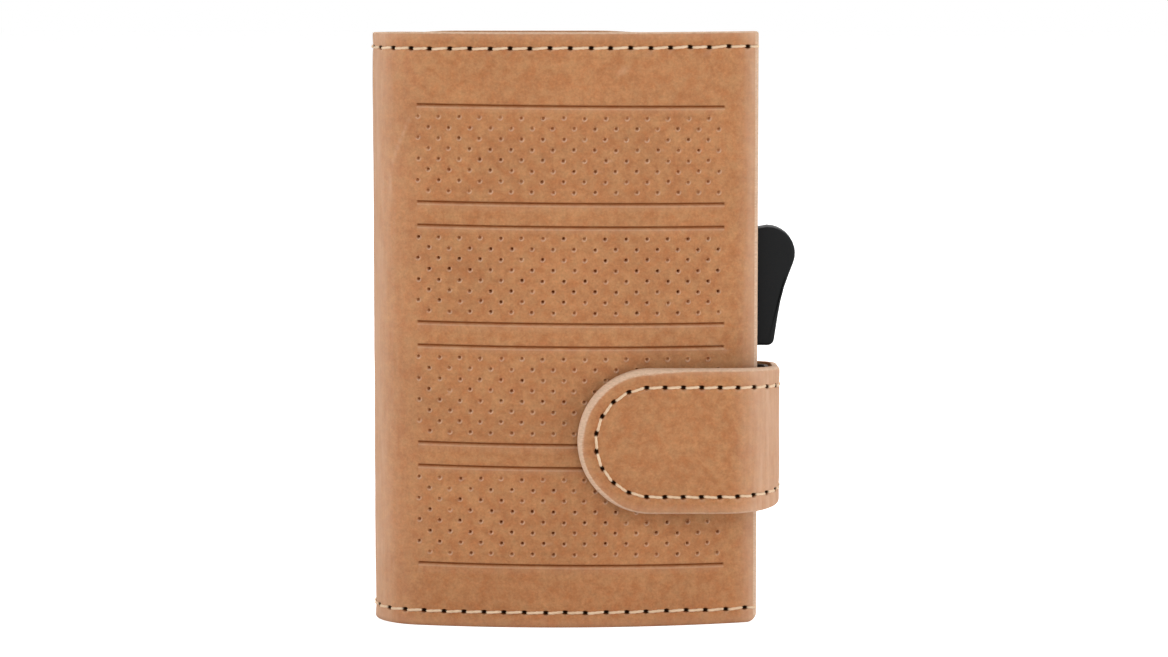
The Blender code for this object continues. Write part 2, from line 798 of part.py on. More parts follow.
def make_cap(body):
    """The plate under the case, its plug with snaps, and the posts that the cards stand on."""
    cap = link("case_bottom_cap", prism(case_outline(0), CASE_FOOT, CAP_TOP), black_plastic)
    sunk = CAP_TOP - CAP_THICKNESS / 2
    plug_out = CASE_WALL + FIT_GAP
    plug = tube(case_outline(plug_out), case_outline(plug_out + CAP_PLUG_WALL), sunk, PLUG_TOP)
    snaps = snap_boxes("snap_nub", 0, CASE_FRONT + FIT_GAP, CASE_BACK - FIT_GAP)
    hollow = prism(case_outline(plug_out + CAP_PLUG_WALL / 2), sunk, PLUG_TOP + CUT_OVERRUN)
    plug_mid = link("plug_hollow", hollow)
    for snap in snaps:
        combine(snap, plug_mid, "DIFFERENCE")
    left = CASE_INSIDE_LEFT + FIT_GAP + CAP_PLUG_WALL / 2
    middle_left = left + POST_SPACING
    fin_right = CHANNEL_LEFT - FIT_GAP
    fin_left = fin_right - FIN_WIDTH
    posts = (
        ("left_post", left, left + LEFT_POST_WIDTH, CARD_FRONT, CARD_BACK),
        ("middle_post", middle_left, middle_left + MIDDLE_POST_WIDTH, CARD_FRONT, CARD_BACK),
        ("front_fin", fin_left, fin_right, CARD_FRONT, CARD_FRONT + FIN_THICKNESS),
        ("back_fin", fin_left, fin_right, CARD_BACK - FIN_THICKNESS, CARD_BACK),
    )
    tools = [link("cap_plug", plug)]
    for name, x0, x1, y0, y1 in posts:
        tools.append(link(name, box(x0, x1, y0, y1, sunk, CARD_REST_HEIGHT)))
    tools += snaps
    for tool in tools:
        combine(cap, tool, "UNION")
    hide_tool(plug_mid)
    carry(body, cap, plug_mid, *tools)


def make_pads(body):
    """Two strips of felt near the mouth that hold the cards by friction."""
    middle = (CASE_INSIDE_LEFT + CHANNEL_LEFT) / 2
    top = CASE_TOP - PAD_BELOW_MOUTH
    front = CASE_INSIDE_FRONT + FIT_GAP
    back = CASE_INSIDE_BACK - FIT_GAP
    for name, y0, y1 in (
        ("friction_pad_front", front, front + PAD_THICKNESS),
        ("friction_pad_back", back - PAD_THICKNESS, back),
    ):
        shape = box(middle - PAD_WIDTH / 2, middle + PAD_WIDTH / 2, y0, y1, top - PAD_HEIGHT, top)
        carry(body, link(name, shape, black_felt))


def make_guide(body):
    """A channel for the carriage, open to the slot in the case's side."""
    front = CASE_INSIDE_FRONT + FIT_GAP
    back = CASE_INSIDE_BACK - FIT_GAP
    right = CASE_INSIDE_RIGHT - FIT_GAP - CASE_CORNER_RADIUS + CASE_WALL
    web = CHANNEL_LEFT + GUIDE_WALL
    outline = [
        (CHANNEL_LEFT, front),
        (right, front),
        (right, front + GUIDE_WALL),
        (web, front + GUIDE_WALL),
        (web, back - GUIDE_WALL),
        (right, back - GUIDE_WALL),
        (right, back),
        (CHANNEL_LEFT, back),
    ]
    guide = link("slide_guide", prism(outline, GUIDE_FOOT, CASE_TOP - GUIDE_BELOW_MOUTH), black_plastic)
    carry(body, guide)


# Ejector


def make_foot(body):
    """A block with one step for each card, and an arm that reaches into the channel."""
    pitch_y = (CARD_BACK - CARD_FRONT) / CARD_COUNT
    pitch_z = (CARD_REST_HEIGHT - FOOT_BASE - FOOT_FLOOR) / (CARD_COUNT - 1)
    height = FOOT_BASE + FOOT_FLOOR
    profile = []
    for i in range(CARD_COUNT):
        y = CARD_FRONT + pitch_y * i
        profile += [(y, height + pitch_z * i), (y + pitch_y, height + pitch_z * i)]
    outline = [(CARD_FRONT, FOOT_BASE), *profile, (CARD_BACK, FOOT_BASE)]
    right = CHANNEL_LEFT - FOOT_FROM_CHANNEL
    foot = link("ejector_foot", prism(outline, right - FOOT_LENGTH, right, "X"), black_plastic)

    tongue_right = CHANNEL_LEFT + GUIDE_WALL + FIT_GAP + ROD_WIDTH
    tongue_left = tongue_right - ROD_WIDTH
    arm_outline = [
        (right - ARM_THICKNESS, FOOT_BASE),
        (tongue_right, FOOT_BASE),
        (tongue_right, ARM_TOP + TONGUE_HEIGHT),
        (tongue_left, ARM_TOP + TONGUE_HEIGHT),
        (tongue_left, ARM_TOP),
        (right - ARM_THICKNESS, ARM_TOP),
    ]
    half = ARM_THICKNESS / 2
    arm = link("foot_arm", prism(arm_outline, CASE_MIDDLE_Y - half, CASE_MIDDLE_Y + half, "Y"))
    combine(foot, arm, "UNION")
    carry(body, foot, arm)


def make_carriage(body):
    """The block in the guide, the rod down to the foot, and the neck out through the slot."""
    left = CHANNEL_LEFT + GUIDE_WALL + FIT_GAP
    right = CASE_INSIDE_RIGHT - FIT_GAP
    block_half = (CASE_INSIDE_BACK - CASE_INSIDE_FRONT) / 2 - 2 * FIT_GAP - GUIDE_WALL
    top = CARRIAGE_FOOT + CARRIAGE_HEIGHT
    y = CASE_MIDDLE_Y
    block = box(left, right, y - block_half, y + block_half, CARRIAGE_FOOT, top)
    carriage = link("ejector_carriage", block, black_plastic)
    rod_half = ROD_THICKNESS / 2
    sunk = CARRIAGE_FOOT + ROD_WIDTH
    rod = link("carriage_rod", box(left, left + ROD_WIDTH, y - rod_half, y + rod_half, FOOT_BASE, sunk))
    neck_half = ARM_THICKNESS / 2
    neck_shape = box(
        left + ROD_WIDTH,
        LEVER_LEFT + NECK_LENGTH,
        y - neck_half,
        y + neck_half,
        NECK_FOOT,
        NECK_FOOT + NECK_HEIGHT,
    )
    neck = link("carriage_neck", neck_shape)
    fork_half = ARM_THICKNESS / 2 + FIT_GAP
    fork = link(
        "carriage_fork",
        box(
            left - CUT_OVERRUN,
            left + ROD_WIDTH + CUT_OVERRUN,
            y - fork_half,
            y + fork_half,
            FOOT_BASE - CUT_OVERRUN,
            ARM_TOP + TONGUE_HEIGHT + FIT_GAP,
        ),
    )
    holes = pin_discs("neck_hole", PIN_DIAMETER + 2 * FIT_GAP, CUT_OVERRUN)
    combine(carriage, rod, "UNION")
    combine(carriage, neck, "UNION")
    combine(carriage, fork, "DIFFERENCE")
    for hole in holes:
        combine(carriage, hole, "DIFFERENCE")
    carry(body, carriage, rod, neck, fork, *holes)


def pin_discs(name, diameter, overrun, surface=None):
    """The two pins through the lever and the neck, or the holes for them."""
    half = LEVER_THICKNESS / 2 + overrun
    middle = NECK_FOOT + NECK_HEIGHT / 2
    made = []
    for side, word in ((1, "upper"), (-1, "lower")):
        shape = disc(
            LEVER_LEFT + PIN_DEPTH_IN_LEVER,
            middle + side * PIN_SPACING / 2,
            diameter,
            CASE_MIDDLE_Y - half,
            CASE_MIDDLE_Y + half,
            PIN_SIDES,
        )
        made.append(link(name + "_" + word, shape, surface))
    return made


def lever_outline():
    """A round head for the thumb, a hollowed side and a small round tail."""
    top = LEVER_FOOT + LEVER_HEIGHT
    head = Vector((LEVER_TIP - LEVER_HEAD_RADIUS, top - LEVER_HEAD_RADIUS))
    outline = [(LEVER_LEFT, LEVER_FOOT), (LEVER_LEFT, top - LEVER_TAIL_RADIUS)]
    outline.append((LEVER_LEFT + LEVER_TAIL_RADIUS, top - LEVER_TAIL_RADIUS / 3))
    steps = 2 * CORNER_STEPS
    for i in range(steps + 1):
        angle = math.pi / 2 + (LEVER_HEAD_SWEEP - math.pi / 2) * i / steps
        outline.append(
            (head.x + LEVER_HEAD_RADIUS * math.cos(angle), head.y + LEVER_HEAD_RADIUS * math.sin(angle))
        )
    start = Vector(outline[-1])
    down = Vector((math.sin(LEVER_HEAD_SWEEP), -math.cos(LEVER_HEAD_SWEEP)))
    tail = Vector((LEVER_LEFT + LEVER_TAIL_WIDTH - LEVER_TAIL_RADIUS, LEVER_FOOT + LEVER_TAIL_RADIUS))
    lean = Vector((math.cos(LEVER_TAIL_LEAN), -math.sin(LEVER_TAIL_LEAN)))
    end = tail + lean * LEVER_TAIL_RADIUS
    up = Vector((math.sin(LEVER_TAIL_LEAN), math.cos(LEVER_TAIL_LEAN)))
    pulls = (start, start + down * LEVER_WAIST_PULL, end + up * LEVER_WAIST_PULL, end)
    for i in range(1, CORNER_STEPS + 1):
        t = i / (CORNER_STEPS + 1)
        weights = ((1 - t) ** 3, 3 * t * (1 - t) ** 2, 3 * t * t * (1 - t), t**3)
        outline.append(tuple(sum((p * w for p, w in zip(pulls, weights)), Vector((0, 0)))))
    for i in range(CORNER_STEPS + 1):
        angle = -LEVER_TAIL_LEAN + (LEVER_TAIL_LEAN - math.pi / 2) * i / CORNER_STEPS
        outline.append(
            (tail.x + LEVER_TAIL_RADIUS * math.cos(angle), tail.y + LEVER_TAIL_RADIUS * math.sin(angle))
        )
    return outline


def make_lever(body):
    """The thumb lever beside the case, its slot for the neck, and the two pins that hold it."""
    half = LEVER_THICKNESS / 2
    lever = link(
        "thumb_lever",
        prism(lever_outline(), CASE_MIDDLE_Y - half, CASE_MIDDLE_Y + half, "Y"),
        black_plastic,
    )
    rim = lever.modifiers.new("soft_rim", "BEVEL")
    rim.width = LEVER_EDGE
    rim.segments = BEVEL_STEPS
    rim.limit_method = "ANGLE"
    rim.angle_limit = math.radians(60)
    slot_half = ARM_THICKNESS / 2 + FIT_GAP
    slot = link(
        "lever_fork",
        box(
            LEVER_LEFT - CUT_OVERRUN,
            LEVER_LEFT + NECK_LENGTH + FIT_GAP,
            CASE_MIDDLE_Y - slot_half,
            CASE_MIDDLE_Y + slot_half,
            NECK_FOOT - FIT_GAP,
            NECK_FOOT + NECK_HEIGHT + FIT_GAP,
        ),
    )
    combine(lever, slot, "DIFFERENCE")
    holes = pin_discs("lever_hole", PIN_DIAMETER + 2 * FIT_GAP, CUT_OVERRUN)
    for hole in holes:
        combine(lever, hole, "DIFFERENCE")
    pins = pin_discs("lever_pin", PIN_DIAMETER, 0, bright_steel)
    carry(body, lever, slot, *holes, *pins)


def main():
    for old in list(bpy.data.objects):
        bpy.data.objects.remove(old)
    bodies = make_bodies()
    cover = make_cover(bodies)
    make_pockets(bodies["front"])
    strap = make_strap(bodies)
    make_closure(bodies, cover, strap)
    make_case(bodies["back"])
    make_cap(bodies["back"])
    make_pads(bodies["back"])
    make_guide(bodies["back"])
    make_foot(bodies["ejector"])
    make_carriage(bodies["ejector"])
    make_lever(bodies["ejector"])


main()
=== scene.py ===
"""The mini wallet's looks: pressed tan leather with sewn edges, a strap, a lever and an aluminium card case.

Metres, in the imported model's frame. The leather is worked out flat, by its distance along the hide and
its height, and is then laid round the route that the hide takes.
"""

import math
from itertools import pairwise

import bmesh
import bpy
import numpy as np
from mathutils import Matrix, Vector


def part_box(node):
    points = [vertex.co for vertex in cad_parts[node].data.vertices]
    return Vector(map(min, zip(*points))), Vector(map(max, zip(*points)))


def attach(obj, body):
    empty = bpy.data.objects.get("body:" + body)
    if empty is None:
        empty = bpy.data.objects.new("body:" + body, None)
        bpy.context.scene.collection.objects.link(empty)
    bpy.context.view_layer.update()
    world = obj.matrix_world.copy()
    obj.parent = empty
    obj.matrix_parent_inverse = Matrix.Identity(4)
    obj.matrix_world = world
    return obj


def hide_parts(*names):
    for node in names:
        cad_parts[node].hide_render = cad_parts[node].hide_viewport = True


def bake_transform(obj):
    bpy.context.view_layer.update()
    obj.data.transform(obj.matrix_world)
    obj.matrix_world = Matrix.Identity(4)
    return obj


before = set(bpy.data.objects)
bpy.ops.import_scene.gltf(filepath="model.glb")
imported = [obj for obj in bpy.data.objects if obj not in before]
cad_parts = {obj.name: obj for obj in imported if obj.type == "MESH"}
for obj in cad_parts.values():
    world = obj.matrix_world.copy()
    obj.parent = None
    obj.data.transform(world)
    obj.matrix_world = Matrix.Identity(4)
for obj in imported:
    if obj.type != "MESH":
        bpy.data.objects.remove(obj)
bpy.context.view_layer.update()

MM = 0.001

# Layers and bends of the hide, as in the solids
FIT_GAP = 0.3 * MM
LEATHER = 1.3 * MM
LINING = 0.7 * MM
STRAP_LINING = 0.8 * MM
POCKET_SHEET = 0.8 * MM
LINING_INSET = 0.4 * MM
COVER_DEPTH = 20.0 * MM
SPINE_RADIUS = 9.8 * MM
BACK_BEND_RADIUS = 6.0 * MM
CROWN_RADIUS = 107.0 * MM
CROWN_FROM_MIDDLE = 1.5 * MM
TOP_CORNER_RADIUS = 0.5 * MM
LOW_CORNER_RADIUS = 1.8 * MM
CASE_FROM_FREE_EDGE = 2.1 * MM
STRAP_FRONT_REACH = 31.0 * MM
STRAP_BULGE = 3.8 * MM
STRAP_FRONT_BEND_RADIUS = 10.2 * MM
STRAP_BACK_BEND_RADIUS = 5.0 * MM
STRAP_ROOT_NARROWER = 1.2 * MM  # on each side
STRAP_FLARE_RADIUS = 3.0 * MM
POCKET_FROM_SPINE = 1.5 * MM
POCKET_FROM_FREE_EDGE = 9.3 * MM
NOTCH_HALF_WIDTH = 10.0 * MM
NOTCH_DEPTH = 7.0 * MM

# Places taken from the solids
spine_low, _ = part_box("spine_leather")
_, back_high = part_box("back_leather")
_, front_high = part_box("front_leather")
tip_low, tip_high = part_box("strap_tip_outer")
note_low, note_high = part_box("note_pocket")
_, card_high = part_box("card_pocket")

COVER_HEIGHT = front_high.z
COVER_EDGE = (front_high.x - spine_low.x) / 2
COVER_FACE = COVER_DEPTH / 2
SHIFT_X = spine_low.x + COVER_EDGE
SHIFT_Y = back_high.y - COVER_FACE
STRAP_CENTRE = (tip_low.z + tip_high.z) / 2
STRAP_HALF = (tip_high.z - tip_low.z) / 2
LINING_DEPTH = LEATHER + FIT_GAP
STRAP_FACE = COVER_FACE + FIT_GAP + LINING_DEPTH + STRAP_LINING
STRAP_SIDE = COVER_EDGE + STRAP_BULGE

# Cut edges
FREE_EDGE_ROUND = 0.75 * MM  # width of the bevelled, undyed edge
LONG_EDGE_ROUND = 0.34 * MM
STRAP_EDGE_ROUND = 0.75 * MM
THIN_EDGE_ROUND = 0.25 * MM
EDGE_SOFT = 0.30 * MM  # over which the dye fades into the cut
EDGE_SOFT_PAST = 0.25  # the share of that which lies past the rounding
# The cut edge shows paler along the top as painted light from above, and less pale along the bottom as
# painted shade
EDGE_STRENGTH_TOP_LIT = 0.80
EDGE_STRENGTH_LOW_SHADED = 0.12
EDGE_STRENGTH_LOW_REACH = 3.0 * MM
EDGE_STRENGTH_FREE_REACH = 1.2 * MM
# Painted shade: the cover is darker along its bottom edge, which faces down
LOW_EDGE_SHADE = 0.14
LOW_EDGE_SHADE_HEIGHT = 1.0 * MM
BACK_TOP_DROP = 0.45 * MM
BACK_TOP_BOW = 0.28 * MM  # lower again, away from the middle of the back's top edge
BACK_TOP_MIDDLE = -6.8 * MM
BACK_TOP_HALF = 13.0 * MM
BACK_TOP_SOFT = 7.0 * MM

# Undyed rim of the strap, in shares of its rounded edge: everywhere, and what is added near the tip, on the
# upper side near the tip and at the tip, and taken off underneath, and underneath near the tip. What is
# added on the upper side is painted light from above, and what is taken off underneath is painted shade
STRAP_RIM = 0.75
STRAP_RIM_NEAR_TIP = 0.30
STRAP_RIM_UPPER_LIT = 0.50
STRAP_RIM_TIP = 0.50
STRAP_RIM_UNDER_SHADED = 0.15
STRAP_RIM_UNDER_SHADED_NEAR_TIP = 0.30
STRAP_RIM_TIP_FROM = -0.4  # of the strap's half width
STRAP_RIM_UNDER_FROM = 0.7
STRAP_RIM_UNDER_SOFT = 0.25
STRAP_NEAR_TIP_TO = 1.7  # of the strap's half width, from the tip
STRAP_RIM_STRENGTH = 0.5  # at least
# The stronger rim on the upper side is painted light from above
STRAP_RIM_STRENGTH_UPPER_LIT = 0.6  # of the way from there to fully undyed
STRAP_RIM_STRENGTH_TO = 1.25  # of the strap's half width, from the tip, where it is fully undyed

# Paler leather from wear, and painted sheen where the spine and the free edge turn aside: how much, and how
# far from the middle of the spine or from the edge
SPINE_WEAR_AND_SHEEN = ((0.75, 6.8 * MM), (0.22, 12 * MM))
FREE_EDGE_WEAR_AND_SHEEN = (0.85, 4 * MM)
LONG_EDGE_WEAR = (0.30, 2 * MM)
STRAP_EDGE_WEAR = (0.40, 2.2 * MM)
# Painted sheen on the strap's bend, which faces the side
STRAP_BEND_SHEEN_FROM = 1 * MM  # past the start of the bend
STRAP_BEND_SHEEN_SOFT = 8 * MM

# Unevenness of the hide: how many waves, the shortest, the longest, and their height in all
COVER_WAVES = (9, 9 * MM, 34 * MM, 0.10 * MM)
STRAP_WAVES = (7, 7 * MM, 20 * MM, 0.06 * MM)
INNER_UNEVENNESS = 0.3

# Seams
TOP_SEAM_AT_EDGE = 2.50 * MM  # from the cover's top, at the free edge
TOP_SEAM_AT_SPINE = 2.86 * MM
SEAM_FROM_BOTTOM = 2.59 * MM
TOP_STITCH_PITCH = 3.42 * MM
BOTTOM_STITCH_PITCH = 3.50 * MM
FIRST_HOLE_TOP = 2.03 * MM  # from the free edge
FIRST_HOLE_BOTTOM = 2.20 * MM
HOLE_ASTRAY = (0.07 * MM, 0.04 * MM)  # along the seam and across it
STRAP_SEAM_INSET = 3.1 * MM
STRAP_SEAM_DROP = 0.12 * MM
STRAP_STITCH_PITCH = 3.12 * MM
STRAP_SEAM_ENDS = 2.5 * MM
HOLE_RADIUS = 0.385 * MM
HOLE_LONGER = 1.22  # along the seam than round, and as much narrower across it
HOLE_DEPTH = 0.75 * MM
HOLE_LIP = 0.05 * MM
THREAD_RADIUS = 0.235 * MM
THREAD_SLANT = 0.13 * MM
THREAD_STEP = 0.16 * MM
# How a stitch rises out of its hole: (from the hole's centre, above the surface)
STITCH_RISE = np.array(((0.10, -0.75), (0.38, -0.42), (0.60, -0.12), (0.96, -0.04))) * MM
SUNK_FROM = 0.66 * MM
SUNK_OVER = 0.20 * MM
# How a stitch goes round a cut edge: (past the edge, below the surface)
EDGE_WRAP = MM * np.array(
    ((-0.95, -0.08), (-0.35, 0.02), (-0.06, 0.45), (-0.04, 1.30), (-0.25, 2.05), (-0.95, 2.41))
)
SEAM_VALLEY = 0.12 * MM
SEAM_VALLEY_WIDTH = 0.75 * MM

# Pressed pattern on the front
LINE_LEFT = -25.3 * MM
LINE_RIGHT = 27.3 * MM
FIRST_LINE_HEIGHT = 89.47 * MM
BAND_HEIGHTS = (16.54 * MM, 16.57 * MM, 16.76 * MM, 16.91 * MM)
BAND_GAP = 3.99 * MM
PATTERN_TILT = -0.0092  # rise along the hide, as the die was set slightly askew
LINE_HALF_WIDTH = 0.23 * MM
LINE_DEPTH = 0.30 * MM
LINE_LIP = 0.07 * MM
LINE_SHADE_RISE = 0.06 * MM
LINE_SHADE_HALF = 0.17 * MM
LINE_DARK = 0.48
LIP_AT = 1.8  # of the line's half width
LIP_SOFT = 0.5
# Painted highlight on a line's lower lip, lit from above
LIP_HIGHLIGHT = 0.60
PIT_ROWS = 8
PIT_ROW_SHARE = 0.109  # of a band's height
PIT_PITCH = 3.56 * MM
PITS_IN_ROW = 15
PIT_LEFT = -24.97 * MM
PIT_ASTRAY = (0.05 * MM, 0.04 * MM)
PIT_RADIUS = 0.25 * MM
PIT_DEPTH = 0.32 * MM
PIT_LIP = 0.14 * MM
PIT_DARK = 0.74
PIT_STRENGTH = (0.82, 0.22)  # its middle and its spread
PIT_STRENGTHS = (0.14, 1.15)
PIT_BAND_STRENGTHS = (0.88, 1.36, 1.02, 1.20)
PIT_OUTER_ROWS_FAINTER = 0.20
PIT_SHADE_RISE = 0.06 * MM
PIT_SHADE_SHARE = 0.90
# The pale rim round holes and pits is a painted highlight, strongest below, where light from above falls on
# the lip
RIM_AT = 1.5  # of the radius of a hole or pit
RIM_SOFT = 0.20
RIM_ASIDE = 0.5  # how far the pale rim is turned from straight below
RIM_ALL_ROUND = 0.35
HOLE_RIM_HIGHLIGHT = 0.40
PIT_RIM_HIGHLIGHT = 1.40
HOLE_REACH = 3.2

# Faint scratches on the front, each from one (x, z) to another
SCRATCHES = MM * np.array((
    ((-26.2, 87.8), (-29.9, 79.6)),
    ((-29.9, 79.6), (-30.6, 72.5)),
    ((8.6, 97.0), (10.4, 94.8)),
    ((24.6, 48.9), (27.9, 47.4)),
))
SCRATCH_WIDTH = 0.22 * MM
SCRATCH_DEPTH = 0.02 * MM
SCRATCH_PALE = 0.35
SCRATCH_FADE = 1.0 * MM
SCRATCH_FADE_PAST = 0.5  # the share of that which lies past the scratch's end

# Waist of the thumb lever
WAIST_DRAW = 0.53 * MM
WAIST_HEIGHT = 9.2 * MM
WAIST_ABOVE = 4.6 * MM
WAIST_BELOW = 6.5 * MM
WAIST_FROM_CASE = 3.3 * MM

# Eased edges of the solids
LEVER_EASE = 0.10 * MM
CASE_EASE = 0.12 * MM
MOULDED_EASE = 0.08 * MM
FELT_EASE = 0.10 * MM
TAPE_EASE = 0.05 * MM
STEEL_EASE = 0.06 * MM

# Steps of the meshes
MERGE = 0.0005 * MM
CLOSEST = 0.03 * MM
FLAT_STEP = 1.5 * MM
BEND_STEP = 0.55 * MM
BACK_ROW_SPACE = 3.0 * MM
FRONT_ROW_SPACE = 1.2 * MM
EDGE_STEPS = np.array((0, 0.04, 0.12, 0.22, 0.34, 0.48, 0.64, 0.85)) * MM
THIN_EDGE_STEPS = EDGE_STEPS[:5]
HOLE_STEPS = np.array((-0.60, -0.44, -0.30, -0.15, 0, 0.15, 0.30, 0.44, 0.60)) * MM
LINE_STEPS = np.array((-0.60, -0.42, -0.30, -0.20, -0.10, 0, 0.10, 0.20, 0.30, 0.42, 0.60)) * MM
PIT_STEPS = np.array((-0.60, -0.48, -0.38, -0.27, -0.14, 0, 0.14, 0.27, 0.38, 0.48, 0.60)) * MM
EDGE_DEPTH_SHARE = 0.55
CUT_SHARES = (0.75, 0.92)
INNER_SHARES = (0.002, 0.01, 0.05, 0.15, 0.3, 0.5, 0.7, 0.85, 0.95, 0.99, 0.998)
TIP_STEPS = 96
STRAP_INNER = STRAP_SEAM_INSET + STRAP_SEAM_DROP + 1.0 * MM
STRAP_INSETS = (*EDGE_STEPS, 1.3 * MM, 1.9 * MM, *(STRAP_SEAM_INSET + HOLE_STEPS))
STRAP_MIDDLE_SHARES = np.linspace(0.22, 0.78, 14)
INNER_ROWS = 36
PLAIN_ROWS = 26
NOTCH_STEPS = 41
THREAD_SIDES = 10
THREAD_LOBE = 0.10
THREAD_TWIST = 3.4 / MM
THREAD_UP = (0.13, 0.29, 0.95)
CORNER_CUTS = 3
CORNER_CUT = 0.25
SHARP_ANGLE = math.radians(50)
EASED_ANGLE = math.radians(40)

rng = np.random.default_rng(7)


# The hide's route, seen from above


class Route:
    """The outer surface seen from above, by distance from the strap's tip."""

    def __init__(self):
        self.parts = []
        self.length = 0.0

    def add(self, length, place):
        self.parts.append((self.length, length, place))
        self.length += length

    def add_line(self, start, end):
        start, end = np.array(start), np.array(end)
        length = np.linalg.norm(end - start)
        along = (end - start) / length
        outward = np.array((along[1], -along[0]))

        def place(distance):
            return start + distance[:, None] * along, np.tile(outward, (len(distance), 1))

        self.add(length, place)

    def add_arc(self, centre, radius, start_angle, turn):
        def place(distance):
            angle = start_angle + distance / radius
            outward = np.column_stack((np.cos(angle), np.sin(angle)))
            return np.array(centre) + radius * outward, outward

        self.add(radius * turn, place)

    def at(self, s):
        """Points and outward directions at these distances."""
        point, outward = np.zeros((len(s), 2)), np.zeros((len(s), 2))
        for start, _, place in self.parts:
            mine = s >= start
            point[mine], outward[mine] = place(s[mine] - start)
        return point, outward

    def start_of(self, index):
        return self.parts[index][0]

    def end_of(self, index):
        return self.parts[index][0] + self.parts[index][1]


def leather_route():
    """Strap tip, round the right side, along the back, round the spine, to the front's free edge."""
    quarter = math.pi / 2
    route = Route()
    strap_bend = (STRAP_SIDE - STRAP_FRONT_BEND_RADIUS, STRAP_FRONT_BEND_RADIUS - STRAP_FACE)
    root = (STRAP_SIDE - STRAP_BACK_BEND_RADIUS, COVER_FACE - STRAP_BACK_BEND_RADIUS)
    bend = (BACK_BEND_RADIUS - COVER_EDGE, COVER_FACE - BACK_BEND_RADIUS)
    spine_x = SPINE_RADIUS - COVER_EDGE
    crown = (-CROWN_FROM_MIDDLE, CROWN_RADIUS - COVER_FACE)
    spine_turn = math.acos((crown[0] - spine_x) / (CROWN_RADIUS - SPINE_RADIUS))
    spine_y = crown[1] - (CROWN_RADIUS - SPINE_RADIUS) * math.sin(spine_turn)
    edge_turn = math.asin((COVER_EDGE - crown[0]) / CROWN_RADIUS)
    route.add_line((COVER_EDGE - STRAP_FRONT_REACH, -STRAP_FACE), (strap_bend[0], -STRAP_FACE))
    route.add_arc(strap_bend, STRAP_FRONT_BEND_RADIUS, -quarter, quarter)
    route.add_line((STRAP_SIDE, strap_bend[1]), (STRAP_SIDE, root[1]))
    route.add_arc(root, STRAP_BACK_BEND_RADIUS, 0, quarter)
    route.add_line((root[0], COVER_FACE), (bend[0], COVER_FACE))
    route.add_arc(bend, BACK_BEND_RADIUS, quarter, quarter)
    route.add_line((-COVER_EDGE, bend[1]), (-COVER_EDGE, spine_y))
    route.add_arc((spine_x, spine_y), SPINE_RADIUS, math.pi, spine_turn)
    route.add_arc(crown, CROWN_RADIUS, math.pi + spine_turn, quarter - spine_turn + edge_turn)
    return route


ROUTE = leather_route()
_, STRAP_BEND, STRAP_FLANK, ROOT_BEND, _, BACK_BEND, _, SPINE, FRONT = range(9)
FREE_EDGE = ROUTE.length
SPINE_SPLIT = ROUTE.start_of(SPINE)
STRAP_SPLIT = (ROUTE.start_of(STRAP_FLANK) + ROUTE.end_of(STRAP_FLANK)) / 2
PANEL_EDGE = ROUTE.end_of(ROOT_BEND) - STRAP_BACK_BEND_RADIUS + STRAP_BULGE + CASE_FROM_FREE_EDGE
POCKET_START = ROUTE.start_of(FRONT) + POCKET_FROM_SPINE
POCKET_STOP = FREE_EDGE - POCKET_FROM_FREE_EDGE


def on_front(x):
    """The distance along the hide at this x on the front, with x = 0 in the middle of the cover."""
    apex = FREE_EDGE - CROWN_RADIUS * math.asin((COVER_EDGE + CROWN_FROM_MIDDLE) / CROWN_RADIUS)
    return apex + CROWN_RADIUS * np.arcsin((x + CROWN_FROM_MIDDLE) / CROWN_RADIUS)


LINE_START, LINE_STOP = on_front(LINE_LEFT), on_front(LINE_RIGHT)
LINE_MIDDLE = (LINE_START + LINE_STOP) / 2


def on_hide(s, z, depth):
    """Points at these distances and heights, this far below the outer surface."""
    point, outward = ROUTE.at(s)
    flat = point - outward * depth[:, None]
    return np.column_stack((flat[:, 0] + SHIFT_X, flat[:, 1] + SHIFT_Y, z))


# Sheets of leather


def smooth(x):
    x = np.clip(x, 0, 1)
    return x * x * (3 - 2 * x)


def edge_drop(near, depth):
    """How far a rounded edge falls away. near is 0 at the cut and 1 where the rounding starts."""
    u = np.clip(1 - near, 0, 1)
    return depth * (1 - np.sqrt(1 - u * u))


def undyed(away, width):
    """1 on the cut edge, fading to 0 where the dyed face starts."""
    return smooth((width - away) / EDGE_SOFT + EDGE_SOFT_PAST)


def new_object(name, mesh, surface):
    mesh.shade_smooth()
    mesh.set_sharp_from_angle(angle=SHARP_ANGLE)
    mesh.materials.append(surface)
    made = linked(name, mesh)
    return made


def linked(name, data):
    made = bpy.data.objects.new(name, data)
    bpy.context.scene.collection.objects.link(made)
    return made


